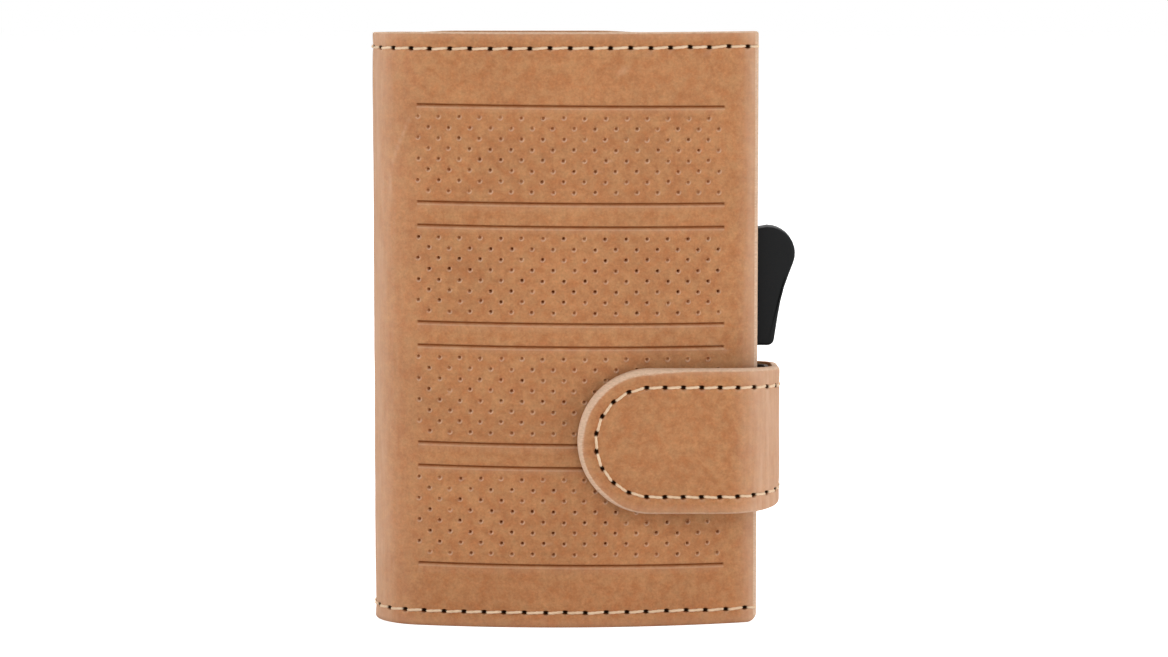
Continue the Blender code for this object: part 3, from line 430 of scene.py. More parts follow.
class Skin:
    """Rows of points on the hide, joined by faces into one closed sheet."""

    def __init__(self):
        self.points, self.hide, self.finish, self.faces = [], [], [], []
        self.total = 0

    def row(self, s, z, depth, finish=None, key=None):
        """Adds a row and gives its points' numbers, and the keys by which rows are joined."""
        count = len(s)
        self.points.append(on_hide(s, z, depth))
        self.hide.append(np.column_stack((s, z, depth)))
        self.finish.append(np.zeros((count, 3)) if finish is None else finish)
        first = self.total
        self.total += count
        return list(range(first, first + count)), list(s if key is None else key)

    def join(self, lower, upper):
        """Faces between two rows, which may have different points."""
        (a, ka), (b, kb) = lower, upper
        i = j = 0
        while i < len(a) - 1 or j < len(b) - 1:
            next_a = ka[i + 1] if i < len(a) - 1 else math.inf
            next_b = kb[j + 1] if j < len(b) - 1 else math.inf
            if abs(next_a - next_b) < MERGE:
                self.faces.append((a[i], a[i + 1], b[j + 1], b[j]))
                i, j = i + 1, j + 1
            elif next_a < next_b:
                self.faces.append((a[i], a[i + 1], b[j]))
                i += 1
            else:
                self.faces.append((a[i], b[j + 1], b[j]))
                j += 1

    def join_all(self, rows):
        for lower, upper in pairwise(rows):
            self.join(lower, upper)

    def build(self, name, surface):
        mesh = bpy.data.meshes.new(name)
        mesh.from_pydata(np.concatenate(self.points), [], self.faces)
        for key, rows in (("hide", self.hide), ("finish", self.finish)):
            values = mesh.attributes.new(key, "FLOAT_VECTOR", "POINT")
            values.data.foreach_set("vector", np.concatenate(rows).astype(np.float32).ravel())
        shape = bmesh.new()
        shape.from_mesh(mesh)
        bmesh.ops.remove_doubles(shape, verts=shape.verts, dist=MERGE)
        bmesh.ops.dissolve_degenerate(shape, edges=shape.edges, dist=MERGE)
        open_edges = [edge for edge in shape.edges if edge.is_boundary]
        bmesh.ops.holes_fill(shape, edges=open_edges, sides=0)
        bmesh.ops.recalc_face_normals(shape, faces=shape.faces)
        shape.to_mesh(mesh)
        shape.free()
        return new_object(name, mesh, surface)


def columns(start, stop, *extra):
    """Distances for one row: close on the bends, and wherever something is pressed in."""
    found = [start, stop]
    found.extend(start + EDGE_STEPS)
    found.extend(stop - EDGE_STEPS)
    for index, (first, length, _) in enumerate(ROUTE.parts):
        low, high = max(start, first), min(stop, first + length)
        if high > low:
            step = BEND_STEP if index in (STRAP_BEND, ROOT_BEND, BACK_BEND, SPINE) else FLAT_STEP
            found.extend(np.linspace(low, high, max(2, math.ceil((high - low) / step) + 1)))
    for more in extra:
        found.extend(x for x in more if start < x < stop)
    kept = [start]
    for x in sorted(found):
        if x - kept[-1] > CLOSEST:
            kept.append(x)
    if stop - kept[-1] < CLOSEST / 2:
        kept.pop()
    if kept[-1] != stop:
        kept.append(stop)
    return np.array(kept)


def around(places, steps):
    return np.add.outer(np.asarray(places), steps).ravel()


def sheet_piece(
    name, start, stop, rows, low, high, depth, thickness, edge, relief, surface, free=(), free_edge=None
):
    """A closed sheet. rows are (line, offset, extra columns), from the lower edge to the upper.

    A line gives heights by distance along the hide. edge is how wide the long edges are rounded, and
    free_edge the same for the ends named in free.
    """
    skin = Skin()
    across = edge if free_edge is None else free_edge

    def front_row(line, offset, extra):
        s = columns(start, stop, *extra)
        z = line(s) + offset
        away = np.minimum(z - low(s), high(s) - z)
        near, cut = away / edge, undyed(away, edge)
        for end in free:
            away = np.abs(s - end)
            near, cut = np.minimum(near, away / across), np.maximum(cut, undyed(away, across))
        pressed_in, finish = relief(s, z)
        finish[:, 1] *= cut
        drop = edge_drop(near, min(edge, thickness * EDGE_DEPTH_SHARE))
        return skin.row(s, z, depth + drop + pressed_in * smooth(near), finish)

    plain = columns(start, stop)

    def plain_row(z, share, finish=None):
        return skin.row(plain, z, np.full(len(plain), depth + thickness * share), finish)

    def cut_row(line, share):
        """A row down the cut face, undyed as far as the edge beside it is."""
        z = line(plain)
        return plain_row(z, share, relief(plain, z)[1])

    cycle = [front_row(*row) for row in rows]
    cycle += [cut_row(high, share) for share in CUT_SHARES]
    cycle += [plain_row(high(plain) + (low(plain) - high(plain)) * share, 1) for share in INNER_SHARES]
    cycle += [cut_row(low, share) for share in reversed(CUT_SHARES)]
    skin.join_all(cycle + cycle[:1])
    return skin.build(name, surface)


# What is pressed and sewn into the leather


class Waves:
    """A soft unevenness of the hide, from a few long waves."""

    def __init__(self, count, shortest, longest, height):
        lengths = rng.uniform(shortest, longest, count)
        angles = rng.uniform(0, math.pi, count)
        self.turns = 2 * math.pi / lengths
        self.along, self.up = np.cos(angles), np.sin(angles)
        self.phases = rng.uniform(0, 2 * math.pi, count)
        self.height = height / count

    def at(self, s, z):
        total = np.zeros(len(s))
        for turn, along, up, phase in zip(self.turns, self.along, self.up, self.phases):
            total += np.sin(turn * (s * along + z * up) + phase)
        return total * self.height


class Holes:
    """Holes or pits along the hide: places, depths, how dark they are, and a painted highlight on their
    rims.
    """

    def __init__(
        self, s, z, radius, depth, lip, dark, rim_highlight, shade_rise=0.0, shade_share=1.05, longer=1.0
    ):
        self.s, self.z = np.array(s), np.array(z)
        along = np.column_stack((np.gradient(self.s), np.gradient(self.z)))
        self.along = along / np.linalg.norm(along, axis=1)[:, None]
        self.longer = longer
        self.radius, self.lip, self.rim_highlight = radius, lip, rim_highlight
        self.shade_rise, self.shade_radius = shade_rise, shade_share * radius
        self.depth = np.broadcast_to(depth, self.s.shape)
        self.dark = dark * self.depth / self.depth.max()

    def add_to(self, s, z, pressed_in, dark, pale):
        """Presses these holes into some points, with a slightly pale rim, a painted highlight brightest
        below.
        """
        reach = HOLE_REACH * self.radius
        for i in np.flatnonzero((self.z > z.min() - reach) & (self.z < z.max() + reach)):
            ds, dz = s - self.s[i], z - self.z[i]
            hit = (np.abs(ds) < reach) & (np.abs(dz) < reach)
            if hit.any():
                ds, dz = ds[hit], dz[hit]
                away = self.away(ds, dz, i) / self.radius
                rim = np.exp(-((away - RIM_AT) ** 2) / RIM_SOFT)
                # the pale rim is a painted highlight, lit most on its lower side
                below = (RIM_ASIDE * ds - dz) / (away * self.radius + CLOSEST)
                lit = np.clip(RIM_ALL_ROUND + (1 - RIM_ALL_ROUND) * below, 0, 1)
                pressed_in[hit] += self.depth[i] * np.exp(-(away**4)) - self.lip * rim
                pale[hit] += self.rim_highlight * rim * lit
                from_shade = self.away(ds, dz - self.shade_rise, i) / self.shade_radius
                dark[hit] = np.maximum(dark[hit], np.exp(-(from_shade**6)) * self.dark[i])

    def away(self, ds, dz, i):
        """How far out these points lie, where an oval hole counts as a round one."""
        along, up = self.along[i]
        return np.hypot((ds * along + dz * up) / self.longer, (dz * along - ds * up) * self.longer)


def sewn_holes(s, z):
    # stitch holes are painted fully dark: painted shade in the hole
    return Holes(s, z, HOLE_RADIUS, HOLE_DEPTH, HOLE_LIP, 1.0, HOLE_RIM_HIGHLIGHT, longer=HOLE_LONGER)


def astray(places, amount):
    return places + rng.normal(0, amount, len(places))


def level(s):
    return 0 * s


def shifted(line, rise):
    """A line this far above another."""

    def moved(s):
        return line(s) + rise

    return moved


def share_line(low, high, share):
    """The line this far up between two others."""

    def line(s):
        return low(s) + (high(s) - low(s)) * share

    return line


def top_seam(s):
    """The top seam's height, which wanders down towards the spine."""
    share = np.clip((FREE_EDGE - s) / (FREE_EDGE - SPINE_SPLIT), 0, 1)
    return COVER_HEIGHT - TOP_SEAM_AT_EDGE - (TOP_SEAM_AT_SPINE - TOP_SEAM_AT_EDGE) * share


def seam_holes(height, first, pitch):
    """Holes from the free edge back to the strap's side of the back panel."""
    s = astray(np.arange(FREE_EDGE - first, PANEL_EDGE + first / 2, -pitch)[::-1], HOLE_ASTRAY[0])
    return sewn_holes(s, astray(height(s), HOLE_ASTRAY[1]))


cover_waves = Waves(*COVER_WAVES)
strap_waves = Waves(*STRAP_WAVES)
bottom_seam = shifted(level, SEAM_FROM_BOTTOM)
top_holes = seam_holes(top_seam, FIRST_HOLE_TOP, TOP_STITCH_PITCH)
bottom_holes = seam_holes(bottom_seam, FIRST_HOLE_BOTTOM, BOTTOM_STITCH_PITCH)
cover_seams = ((bottom_seam, bottom_holes), (top_seam, top_holes))


def askew(s):
    """How much higher the pressed pattern stands here than in its middle."""
    return PATTERN_TILT * (np.clip(s, LINE_START, LINE_STOP) - LINE_MIDDLE)


line_heights = []
pit_rows = []  # distances, height and strength
band_top = FIRST_LINE_HEIGHT
for band_height, band_strength in zip(BAND_HEIGHTS, PIT_BAND_STRENGTHS):
    line_heights += [band_top, band_top - band_height]
    pitch = band_height * PIT_ROW_SHARE
    first_row = band_top - (band_height - (PIT_ROWS - 1) * pitch) / 2
    for i in range(PIT_ROWS):
        s = on_front(PIT_LEFT) + PIT_PITCH * (np.arange(PITS_IN_ROW) + 0.5 * (i % 2))
        from_middle = 2 * i / (PIT_ROWS - 1) - 1
        strength = band_strength * (1 - PIT_OUTER_ROWS_FAINTER * from_middle**2)
        pit_rows.append((s, first_row - i * pitch, strength))
    band_top -= band_height + BAND_GAP


def pressed_pits():
    """Pits of uneven depth."""
    s = np.concatenate([s for s, _, _ in pit_rows])
    z = np.concatenate([z + askew(s) for s, z, _ in pit_rows])
    strength = np.clip(rng.normal(*PIT_STRENGTH, len(s)), *PIT_STRENGTHS)
    strength *= np.concatenate([share + 0 * s for s, _, share in pit_rows])
    s = astray(s, PIT_ASTRAY[0])
    z = astray(z, PIT_ASTRAY[1])
    depth = strength * PIT_DEPTH
    return Holes(s, z, PIT_RADIUS, depth, PIT_LIP, PIT_DARK, PIT_RIM_HIGHLIGHT, PIT_SHADE_RISE, PIT_SHADE_SHARE)


pits = pressed_pits()


def press_line(s, z, height, pressed_in, dark, pale):
    """Presses one fine line into some points, with a dark upper side and a pale lower lip: browned dye set
    high as painted shade, and a painted highlight on the lip.
    """
    across = (z - height) / LINE_HALF_WIDTH
    ends = smooth((s - LINE_START) / LINE_HALF_WIDTH) * smooth((LINE_STOP - s) / LINE_HALF_WIDTH)
    lips = np.exp(-((np.abs(across) - LIP_AT) ** 2) / LIP_SOFT) * ends
    pressed_in += LINE_DEPTH * np.exp(-(across**4)) * ends - LINE_LIP * lips
    shade = (z - height - LINE_SHADE_RISE) / LINE_SHADE_HALF
    dark[:] = np.maximum(dark, np.exp(-(shade**4)) * ends * LINE_DARK)
    # painted highlight on the lower lip
    pale += LIP_HIGHLIGHT * np.where(across < 0, lips, 0)


def scratch(s, z, pressed_in, wear_and_light):
    """Scores the faint scratches into some points."""
    for (x0, z0), (x1, z1) in SCRATCHES:
        s0, s1 = on_front(x0), on_front(x1)
        length = math.hypot(s1 - s0, z1 - z0)
        along = ((s - s0) * (s1 - s0) + (z - z0) * (z1 - z0)) / length
        away = np.abs((s - s0) * (z1 - z0) - (z - z0) * (s1 - s0)) / length
        mark = np.exp(-((away / SCRATCH_WIDTH) ** 2))
        for inside in (along, length - along):
            mark = mark * smooth(inside / SCRATCH_FADE + SCRATCH_FADE_PAST)
        pressed_in += SCRATCH_DEPTH * mark
        wear_and_light += SCRATCH_PALE * mark


def paler_near_edge(away, amount, reach):
    return amount * smooth(1 - away / reach)


def paled_by_wear_and_sheen(s, z):
    """Paler leather along the folded and the cut edges of the cover: wear, with painted sheen on the spine
    and the free edge.
    """
    from_spine = s - (ROUTE.start_of(BACK_BEND) + ROUTE.end_of(SPINE)) / 2
    # painted sheen on the spine, and on the free edge below, with wear
    spine = sum(amount * np.exp(-((from_spine / reach) ** 4)) for amount, reach in SPINE_WEAR_AND_SHEEN)
    free = paler_near_edge(FREE_EDGE - s, *FREE_EDGE_WEAR_AND_SHEEN)
    return np.clip(spine + free + paler_near_edge(np.minimum(z, COVER_HEIGHT - z), *LONG_EDGE_WEAR), 0, 1)


def edge_strength(s, z):
    """How undyed the cover's cut edges look here: most at the free edge, least along the bottom. The top
    edge is kept paler as painted light from above, and the bottom edge less pale as painted shade.
    """
    low = smooth(1 - z / EDGE_STRENGTH_LOW_REACH)
    free = smooth(1 - (FREE_EDGE - s) / EDGE_STRENGTH_FREE_REACH)
    return np.clip(EDGE_STRENGTH_TOP_LIT + (EDGE_STRENGTH_LOW_SHADED - EDGE_STRENGTH_TOP_LIT) * low + free, 0, 1)


# Each relief gives how far points are pressed in, and their finish: how dark (pressed dye, with painted
# shade in holes and along the bottom), how undyed (with painted light and shade on the edges), how pale from
# wear and painted light


def cover_relief(s, z):
    pressed_in = cover_waves.at(s, z)
    # painted shade along the bottom edge, which faces down
    dark = LOW_EDGE_SHADE * smooth(1 - z / LOW_EDGE_SHADE_HEIGHT)
    wear_and_light = paled_by_wear_and_sheen(s, z)
    for seam, holes in reversed(cover_seams):
        holes.add_to(s, z, pressed_in, dark, wear_and_light)
        pressed_in += SEAM_VALLEY * np.exp(-(((z - seam(s)) / SEAM_VALLEY_WIDTH) ** 2))
    if s[-1] > LINE_START:
        pits.add_to(s, z, pressed_in, dark, wear_and_light)
        scratch(s, z, pressed_in, wear_and_light)
        for height in line_heights:
            if np.abs(z - height).min() < BAND_GAP / 2:
                press_line(s, z, height + askew(s), pressed_in, dark, wear_and_light)
    return pressed_in, np.column_stack((dark, edge_strength(s, z), np.clip(wear_and_light, 0, 1)))


def plain_relief(s, z):
    return INNER_UNEVENNESS * cover_waves.at(s, z), np.tile((0.0, 1.0, 0.0), (len(s), 1))


# Rows of the cover and the linings


def corner(s, radius):
    """How far the rounded corners take the edge back."""
    total = np.zeros(len(s))
    for near in (FREE_EDGE - s, s - PANEL_EDGE):
        u = np.clip(radius - near, 0, radius)
        total += radius - np.sqrt(radius**2 - u**2)
    return total


def cover_low(s):
    return corner(s, LOW_CORNER_RADIUS)


def cover_high(s):
    """The top edge, which lies a little lower on the back and bows there."""
    turned = smooth((ROUTE.end_of(SPINE) - s) / (ROUTE.end_of(SPINE) - ROUTE.start_of(BACK_BEND)))
    x = ROUTE.at(s)[0][:, 0]
    bow = BACK_TOP_BOW * smooth((np.abs(x - BACK_TOP_MIDDLE) - BACK_TOP_HALF) / BACK_TOP_SOFT)
    return COVER_HEIGHT - (BACK_TOP_DROP + bow) * turned - corner(s, TOP_CORNER_RADIUS)


def filled(rows, widest):
    """Puts rows in order and adds plain ones where they leave wide spaces."""

    def height(row):
        return float(row[0](np.array([LINE_MIDDLE]))[0]) + row[1]

    rows = sorted(rows, key=height)
    extra = []
    for a, b in pairwise(map(height, rows)):
        count = math.ceil((b - a) / widest) - 1
        extra += [(level, a + (b - a) * (i + 1) / (count + 1), ()) for i in range(count)]
    return sorted(rows + extra, key=height)


def edge_rows(low, high, steps, extra=()):
    lower = [(low, step, extra) for step in steps]
    upper = [(high, -step, extra) for step in reversed(steps)]
    return lower, upper


def seam_rows():
    rows = []
    for seam, holes in cover_seams:
        extra = (around(holes.s, HOLE_STEPS),)
        rows += [(seam, step, extra) for step in HOLE_STEPS]
    return rows


def pattern_rows():
    line_ends = (around((LINE_START, LINE_STOP), LINE_STEPS),)
    rows = [(askew, height + step, line_ends) for height in line_heights for step in LINE_STEPS]
    for s, z, _ in pit_rows:
        extra = (around(s, PIT_STEPS),)
        rows += [(askew, z + step, extra) for step in PIT_STEPS]
    return rows


def cover_piece(name, start, stop, middle, widest, free, surface):
    lower, upper = edge_rows(cover_low, cover_high, EDGE_STEPS)
    rows = lower[:-1] + filled([lower[-1], *middle, upper[0]], widest) + upper[1:]
    return sheet_piece(
        name, start, stop, rows, cover_low, cover_high, 0, LEATHER, LONG_EDGE_ROUND, cover_relief, surface,
        free, FREE_EDGE_ROUND,
    )


def lining_piece(name, start, stop, depth, thickness, low, high, surface, slot, free=(), extra=()):
    """A thin sheet on the inside of the hide."""
    lower, upper = edge_rows(low, high, THIN_EDGE_STEPS, extra)
    middle = [(share_line(low, high, share), 0, extra) for share in np.linspace(0, 1, PLAIN_ROWS)[1:-1]]
    return sheet_piece(
        name, start, stop, lower + middle + upper, low, high, depth, thickness, THIN_EDGE_ROUND,
        plain_relief, surface, free,
    )


# Threads


def thread_mesh(name, stitches):
    """Short lengths of twisted thread. stitches are rows of x, y, z and how far sunk in a hole."""
    shape = bmesh.new()
    sunk = shape.verts.layers.float.new("sunk")
    for points in stitches:
        path = [Vector(p) for p in points[:, :3]]
        rings = []
        side = None
        run = 0.0
        for i, point in enumerate(path):
            before = path[max(i - 1, 0)]
            along = (path[min(i + 1, len(path) - 1)] - before).normalized()
            run += (point - before).length
            side = along.cross(Vector(THREAD_UP)) if side is None else side - along * side.dot(along)
            side.normalize()
            over = along.cross(side)
            ring = []
            for k in range(THREAD_SIDES):
                angle = 2 * math.pi * k / THREAD_SIDES
                radius = THREAD_RADIUS * (1 + THREAD_LOBE * math.cos(2 * (angle - THREAD_TWIST * run)))
                place = point + (side * math.cos(angle) + over * math.sin(angle)) * radius
                ring.append(shape.verts.new(place))
                ring[-1][sunk] = points[i, 3]
            rings.append(ring)
        for a, b in pairwise(rings):
            for k in range(THREAD_SIDES):
                shape.faces.new((a[k - 1], a[k], b[k], b[k - 1]))
        shape.faces.new(rings[0])
        shape.faces.new(rings[-1])
    bmesh.ops.recalc_face_normals(shape, faces=shape.faces)
    mesh = bpy.data.meshes.new(name)
    shape.to_mesh(mesh)
    shape.free()
    return new_object(name, mesh, thread)


def even_path(points):
    """A path with its corners cut, in even steps."""
    for _ in range(CORNER_CUTS):
        turn = np.diff(points, axis=0) * CORNER_CUT
        middle = np.stack((points[:-1] + turn, points[1:] - turn), 1).reshape(-1, points.shape[1])
        points = np.concatenate((points[:1], middle, points[-1:]))
    run = np.concatenate(((0,), np.cumsum(np.linalg.norm(np.diff(points, axis=0), axis=1))))
    even = np.linspace(0, run[-1], math.ceil(run[-1] / THREAD_STEP) + 1)
    return np.column_stack([np.interp(even, run, column) for column in points.T])


def laid(path, surface_depth, side, holes):
    """A stitch's path of (distance, height, rise), laid on the hide. side is 1 outside, -1 inside."""
    s, z, rise = even_path(np.array(path)).T
    away = np.min([np.hypot(s - hs, z - hz) for hs, hz in holes], axis=0)
    sunk = smooth((SUNK_FROM - away) / SUNK_OVER)
    return np.column_stack((on_hide(s, z, surface_depth - side * rise), sunk))


def stitch(start, stop, surface_depth, side):
    """One stitch between two holes, each (distance, height)."""
    start, stop = np.array(start), np.array(stop)
    length = np.linalg.norm(stop - start)
    along = (stop - start) / length
    across = np.array((-along[1], along[0]))
    across *= math.copysign(1, across[1])
    path = [(d, rise) for d, rise in STITCH_RISE] + [(length - d, rise) for d, rise in STITCH_RISE[::-1]]
    path = [(*(start + along * d + across * THREAD_SLANT * (2 * d / length - 1)), rise) for d, rise in path]
    return laid(path, surface_depth, side, (start, stop))


def edge_stitch(hole, edge, inside):
    """A stitch from a hole round the cut edge beside it and back to the same hole inside."""
    s, z = hole
    toward = math.copysign(1, edge - s)
    path = [(s + toward * d, z, rise) for d, rise in STITCH_RISE]
    path += [(edge + toward * past, z, -below) for past, below in EDGE_WRAP]
    path += [(s + toward * d, z, -inside - rise) for d, rise in STITCH_RISE[::-1]]
    return laid(path, 0, 1, (hole,))


# Materials


class Paint:
    """A Principled material built up node by node."""

    def __init__(self, name, roughness=0.6, metallic=0.0, specular=0.5, sheen=0.0, sheen_tint=(1, 1, 1)):
        self.material = bpy.data.materials.new(name)
        self.material.use_nodes = True
        self.tree = self.material.node_tree
        self.shader = self.tree.nodes["Principled BSDF"]
        for key, value in (
            ("Roughness", roughness), ("Metallic", metallic), ("Specular IOR Level", specular),
            ("Sheen Weight", sheen), ("Sheen Roughness", 0.5), ("Sheen Tint", (*sheen_tint, 1)),
        ):
            self.shader.inputs[key].default_value = value

    def node(self, kind, inputs=None, **settings):
        made = self.tree.nodes.new(kind)
        for key, value in settings.items():
            setattr(made, key, value)
        for key, value in (inputs or {}).items():
            if isinstance(value, bpy.types.NodeSocket):
                self.tree.links.new(value, made.inputs[key])
            else:
                made.inputs[key].default_value = value
        return made

    def attribute(self, name, output="Vector"):
        return self.node("ShaderNodeAttribute", attribute_name=name).outputs[output]

    def object_coordinates(self):
        return self.node("ShaderNodeTexCoord").outputs["Object"]

    def parts(self, vector):
        return self.node("ShaderNodeSeparateXYZ", {"Vector": vector}).outputs

    def stretched(self, vector, scale):
        return self.node("ShaderNodeMapping", {"Vector": vector, "Scale": scale}).outputs["Vector"]

    def noise(self, vector, scale, detail=3.0, roughness=0.55, distortion=0.0):
        inputs = {"Vector": vector, "Scale": scale, "Detail": detail, "Roughness": roughness}
        inputs["Distortion"] = distortion
        return self.node("ShaderNodeTexNoise", inputs).outputs["Fac"]

    def cells(self, vector, scale):
        return self.node("ShaderNodeTexVoronoi", {"Vector": vector, "Scale": scale}).outputs["Distance"]

    def span(self, value, low, high, to_low=0.0, to_high=1.0):
        inputs = {"Value": value, "From Min": low, "From Max": high, "To Min": to_low, "To Max": to_high}
        return self.node("ShaderNodeMapRange", inputs).outputs["Result"]

    def maths(self, operation, a, b):
        return self.node("ShaderNodeMath", {0: a, 1: b}, operation=operation).outputs[0]

    def mix(self, share, a, b, blend="MIX"):
        a, b = (value if isinstance(value, bpy.types.NodeSocket) else (*value, 1) for value in (a, b))
        inputs = {"Factor": share, 6: a, 7: b}
        return self.node("ShaderNodeMix", inputs, data_type="RGBA", blend_type=blend).outputs[2]

    def grey(self, value):
        inputs = dict.fromkeys(("Red", "Green", "Blue"), value)
        return self.node("ShaderNodeCombineColor", inputs).outputs["Color"]

    def bump(self, height, distance, strength):
        inputs = {"Height": height, "Distance": distance, "Strength": strength}
        return self.node("ShaderNodeBump", inputs).outputs["Normal"]

    def use(self, colour, roughness=None, normal=None, specular=None, sheen=None):
        for key, socket in (
            ("Base Color", colour), ("Roughness", roughness), ("Normal", normal),
            ("Specular IOR Level", specular), ("Sheen Weight", sheen),
        ):
            if socket is not None:
                self.tree.links.new(socket, self.shader.inputs[key])
        return self.material


def shaded(colour, shares):
    return [c * share for c, share in zip(colour, np.broadcast_to(shares, 3))]


# What is left of the dye where it is pressed, and where it is pressed through; the same colours paint the
# shade in the stitch holes and along the cover's bottom edge
BROWNED_AND_SHADE = (0.37, 0.25, 0.14)
BURNT_AND_HOLE_SHADE = (0.105, 0.048, 0.012)
BROWNED_AT = 0.52
BURNT_AT = 0.95

# Depths of the fine surfaces
LEATHER_GRAIN = 0.10 * MM
THREAD_FIBRE = 0.03 * MM
MOULDED_GRAIN = 0.035 * MM
CASE_BRUSHING = 0.02 * MM
STEEL_BRUSHING = 0.01 * MM
FELT_FLUFF = 0.25 * MM
TAPE_FOAM = 0.06 * MM


def leather_paint(name, yellow, red, pale, raw, grain=1.0, sheen=0.08):
    """Matt leather: dye in yellower and redder patches, fine grain, dark pressings, undyed cuts, and a pale
    mix that carries wear, painted sheen and painted highlights; the dark also carries painted shade in
    stitch holes and along the bottom.
    """
    paint = Paint(name, roughness=0.70, specular=0.17, sheen=sheen, sheen_tint=pale)
    hide = paint.attribute("hide")
    dark, cut, wear_and_light = paint.parts(paint.attribute("finish"))
    clouds = paint.noise(hide, 70, 3, 0.55)
    patches = paint.noise(hide, 400, 5, 0.68, 0.3)
    mottle = paint.noise(hide, 760, 4, 0.68)
    fibre = paint.noise(hide, 2300, 4, 0.65)
    pores = paint.cells(hide, 2100)
    streaks = paint.noise(paint.stretched(hide, (900, 90, 900)), 1, 4, 0.65)
    edge_fibre = paint.noise(paint.stretched(hide, (1500, 3800, 3800)), 1, 3, 0.6)

    colour = paint.mix(paint.span(patches, 0.36, 0.64), red, yellow)
    tone = paint.span(clouds, 0.30, 0.70, 0.94, 1.05)
    for layer, depth in ((mottle, 0.11), (fibre, 0.10)):
        tone = paint.maths("MULTIPLY", tone, paint.span(layer, 0.32, 0.68, 1 - depth, 1 + depth))
    colour = paint.mix(1.0, colour, paint.grey(tone), "MULTIPLY")
    # the pale mix carries wear, painted sheen and painted highlights
    wear_and_light = paint.maths("MULTIPLY", wear_and_light, paint.span(streaks, 0.25, 0.75, 0.40, 0.90))
    colour = paint.mix(wear_and_light, colour, pale)
    edge_colour = paint.mix(paint.span(edge_fibre, 0.32, 0.70), shaded(raw, 0.78), raw)
    ragged = paint.maths("ADD", cut, paint.span(edge_fibre, 0.3, 0.7, -0.12, 0.12))
    ragged = paint.maths("MULTIPLY", paint.span(ragged, 0.15, 0.75), paint.span(cut, 0.0, 0.15))
    colour = paint.mix(ragged, colour, edge_colour)
    # dark carries pressed dye, and painted shade in the stitch holes and along the bottom edge
    pressed = paint.maths("MULTIPLY", dark, paint.span(mottle, 0.32, 0.68, 0.84, 1.05))
    colour = paint.mix(paint.span(pressed, 0.0, BROWNED_AT), colour, shaded(red, BROWNED_AND_SHADE))
    colour = paint.mix(paint.span(pressed, BROWNED_AT, BURNT_AT), colour, shaded(red, BURNT_AND_HOLE_SHADE))

    height = paint.maths("MULTIPLY", fibre, 0.6)
    for layer, share in ((mottle, 0.9), (pores, 0.35)):
        height = paint.maths("ADD", height, paint.maths("MULTIPLY", layer, share))
    rough = paint.span(mottle, 0.3, 0.7, 0.62, 0.78)
    gleam = paint.span(pressed, 0.0, 0.6, 0.17, 0.02)
    haze = paint.span(pressed, 0.0, 0.6, sheen, 0.0)
    return paint.use(colour, rough, paint.bump(height, LEATHER_GRAIN * grain, 0.6), gleam, haze)


def thread_paint():
    paint = Paint("thread_look", roughness=0.6, sheen_tint=(1, 0.93, 0.84))
    place = paint.object_coordinates()
    sunk = paint.attribute("sunk", "Fac")
    soil = paint.noise(place, 420, 3, 0.6)
    fibre = paint.noise(place, 7000, 2, 0.6)
    colour = paint.mix(paint.span(soil, 0.3, 0.7), (0.78, 0.55, 0.35), (0.90, 0.69, 0.48))
    # the thread is painted near black where it is sunk in a hole: painted shade
    colour = paint.mix(sunk, colour, (0.024, 0.010, 0.004))
    gleam = paint.span(sunk, 0.0, 1.0, 0.2, 0.01)
    haze = paint.span(sunk, 0.0, 1.0, 0.1, 0.0)
    return paint.use(colour, None, paint.bump(fibre, THREAD_FIBRE, 0.5), gleam, haze)


def plastic_paint(name, colour, roughness, specular):
    """Moulded plastic with a fine spark, a little uneven in tone."""
    paint = Paint(name, roughness=roughness, specular=specular)
    place = paint.object_coordinates()
    spark = paint.noise(place, 5200, 2, 0.5)
    cloud = paint.noise(place, 320, 3, 0.6)
    tone = paint.mix(paint.span(cloud, 0.3, 0.7), shaded(colour, 0.86), shaded(colour, 1.14))
    rough = paint.span(cloud, 0.3, 0.7, roughness - 0.05, roughness + 0.06)
    return paint.use(tone, rough, paint.bump(spark, MOULDED_GRAIN, 0.5))


def metal_paint(name, colour, roughness, stretch, depth):
    """Metal with fine brushing along its height."""
    paint = Paint(name, roughness=roughness, metallic=1.0)
    place = paint.object_coordinates()
    brushed = paint.noise(paint.stretched(place, stretch), 1, 4, 0.65)
    handled = paint.noise(place, 90, 4, 0.6)
    tone = paint.mix(paint.span(brushed, 0.3, 0.7), shaded(colour, 0.82), colour)
    rough = paint.span(brushed, 0.3, 0.7, roughness - 0.06, roughness + 0.06)
    rough = paint.maths("ADD", rough, paint.span(handled, 0.4, 0.7, 0, 0.10))
    return paint.use(tone, rough, paint.bump(brushed, depth, 0.4))


def felt_paint():
    paint = Paint("felt_look", roughness=0.95, specular=0.15, sheen=0.6, sheen_tint=(0.5, 0.5, 0.55))
    fluff = paint.noise(paint.object_coordinates(), 2600, 5, 0.7, 0.6)
    colour = paint.mix(paint.span(fluff, 0.3, 0.7), (0.012, 0.012, 0.013), (0.040, 0.040, 0.043))
    return paint.use(colour, None, paint.bump(fluff, FELT_FLUFF, 0.8))


def tape_paint():
    paint = Paint("tape_look", roughness=0.6)
    foam = paint.noise(paint.object_coordinates(), 3000, 3, 0.6)
    colour = paint.mix(paint.span(foam, 0.3, 0.7), (0.60, 0.58, 0.53), (0.74, 0.72, 0.67))
    return paint.use(colour, None, paint.bump(foam, TAPE_FOAM, 0.6))


tan = leather_paint(
    "tan_leather_look", yellow=(0.522, 0.252, 0.109), red=(0.465, 0.185, 0.073),
    pale=(0.695, 0.446, 0.306), raw=(0.785, 0.538, 0.374),
)
tan_inside = leather_paint(
    "tan_split_look", yellow=(0.43, 0.235, 0.125), red=(0.36, 0.18, 0.09), pale=(0.50, 0.32, 0.20),
    raw=(0.60, 0.43, 0.31), grain=1.6, sheen=0.25,
)
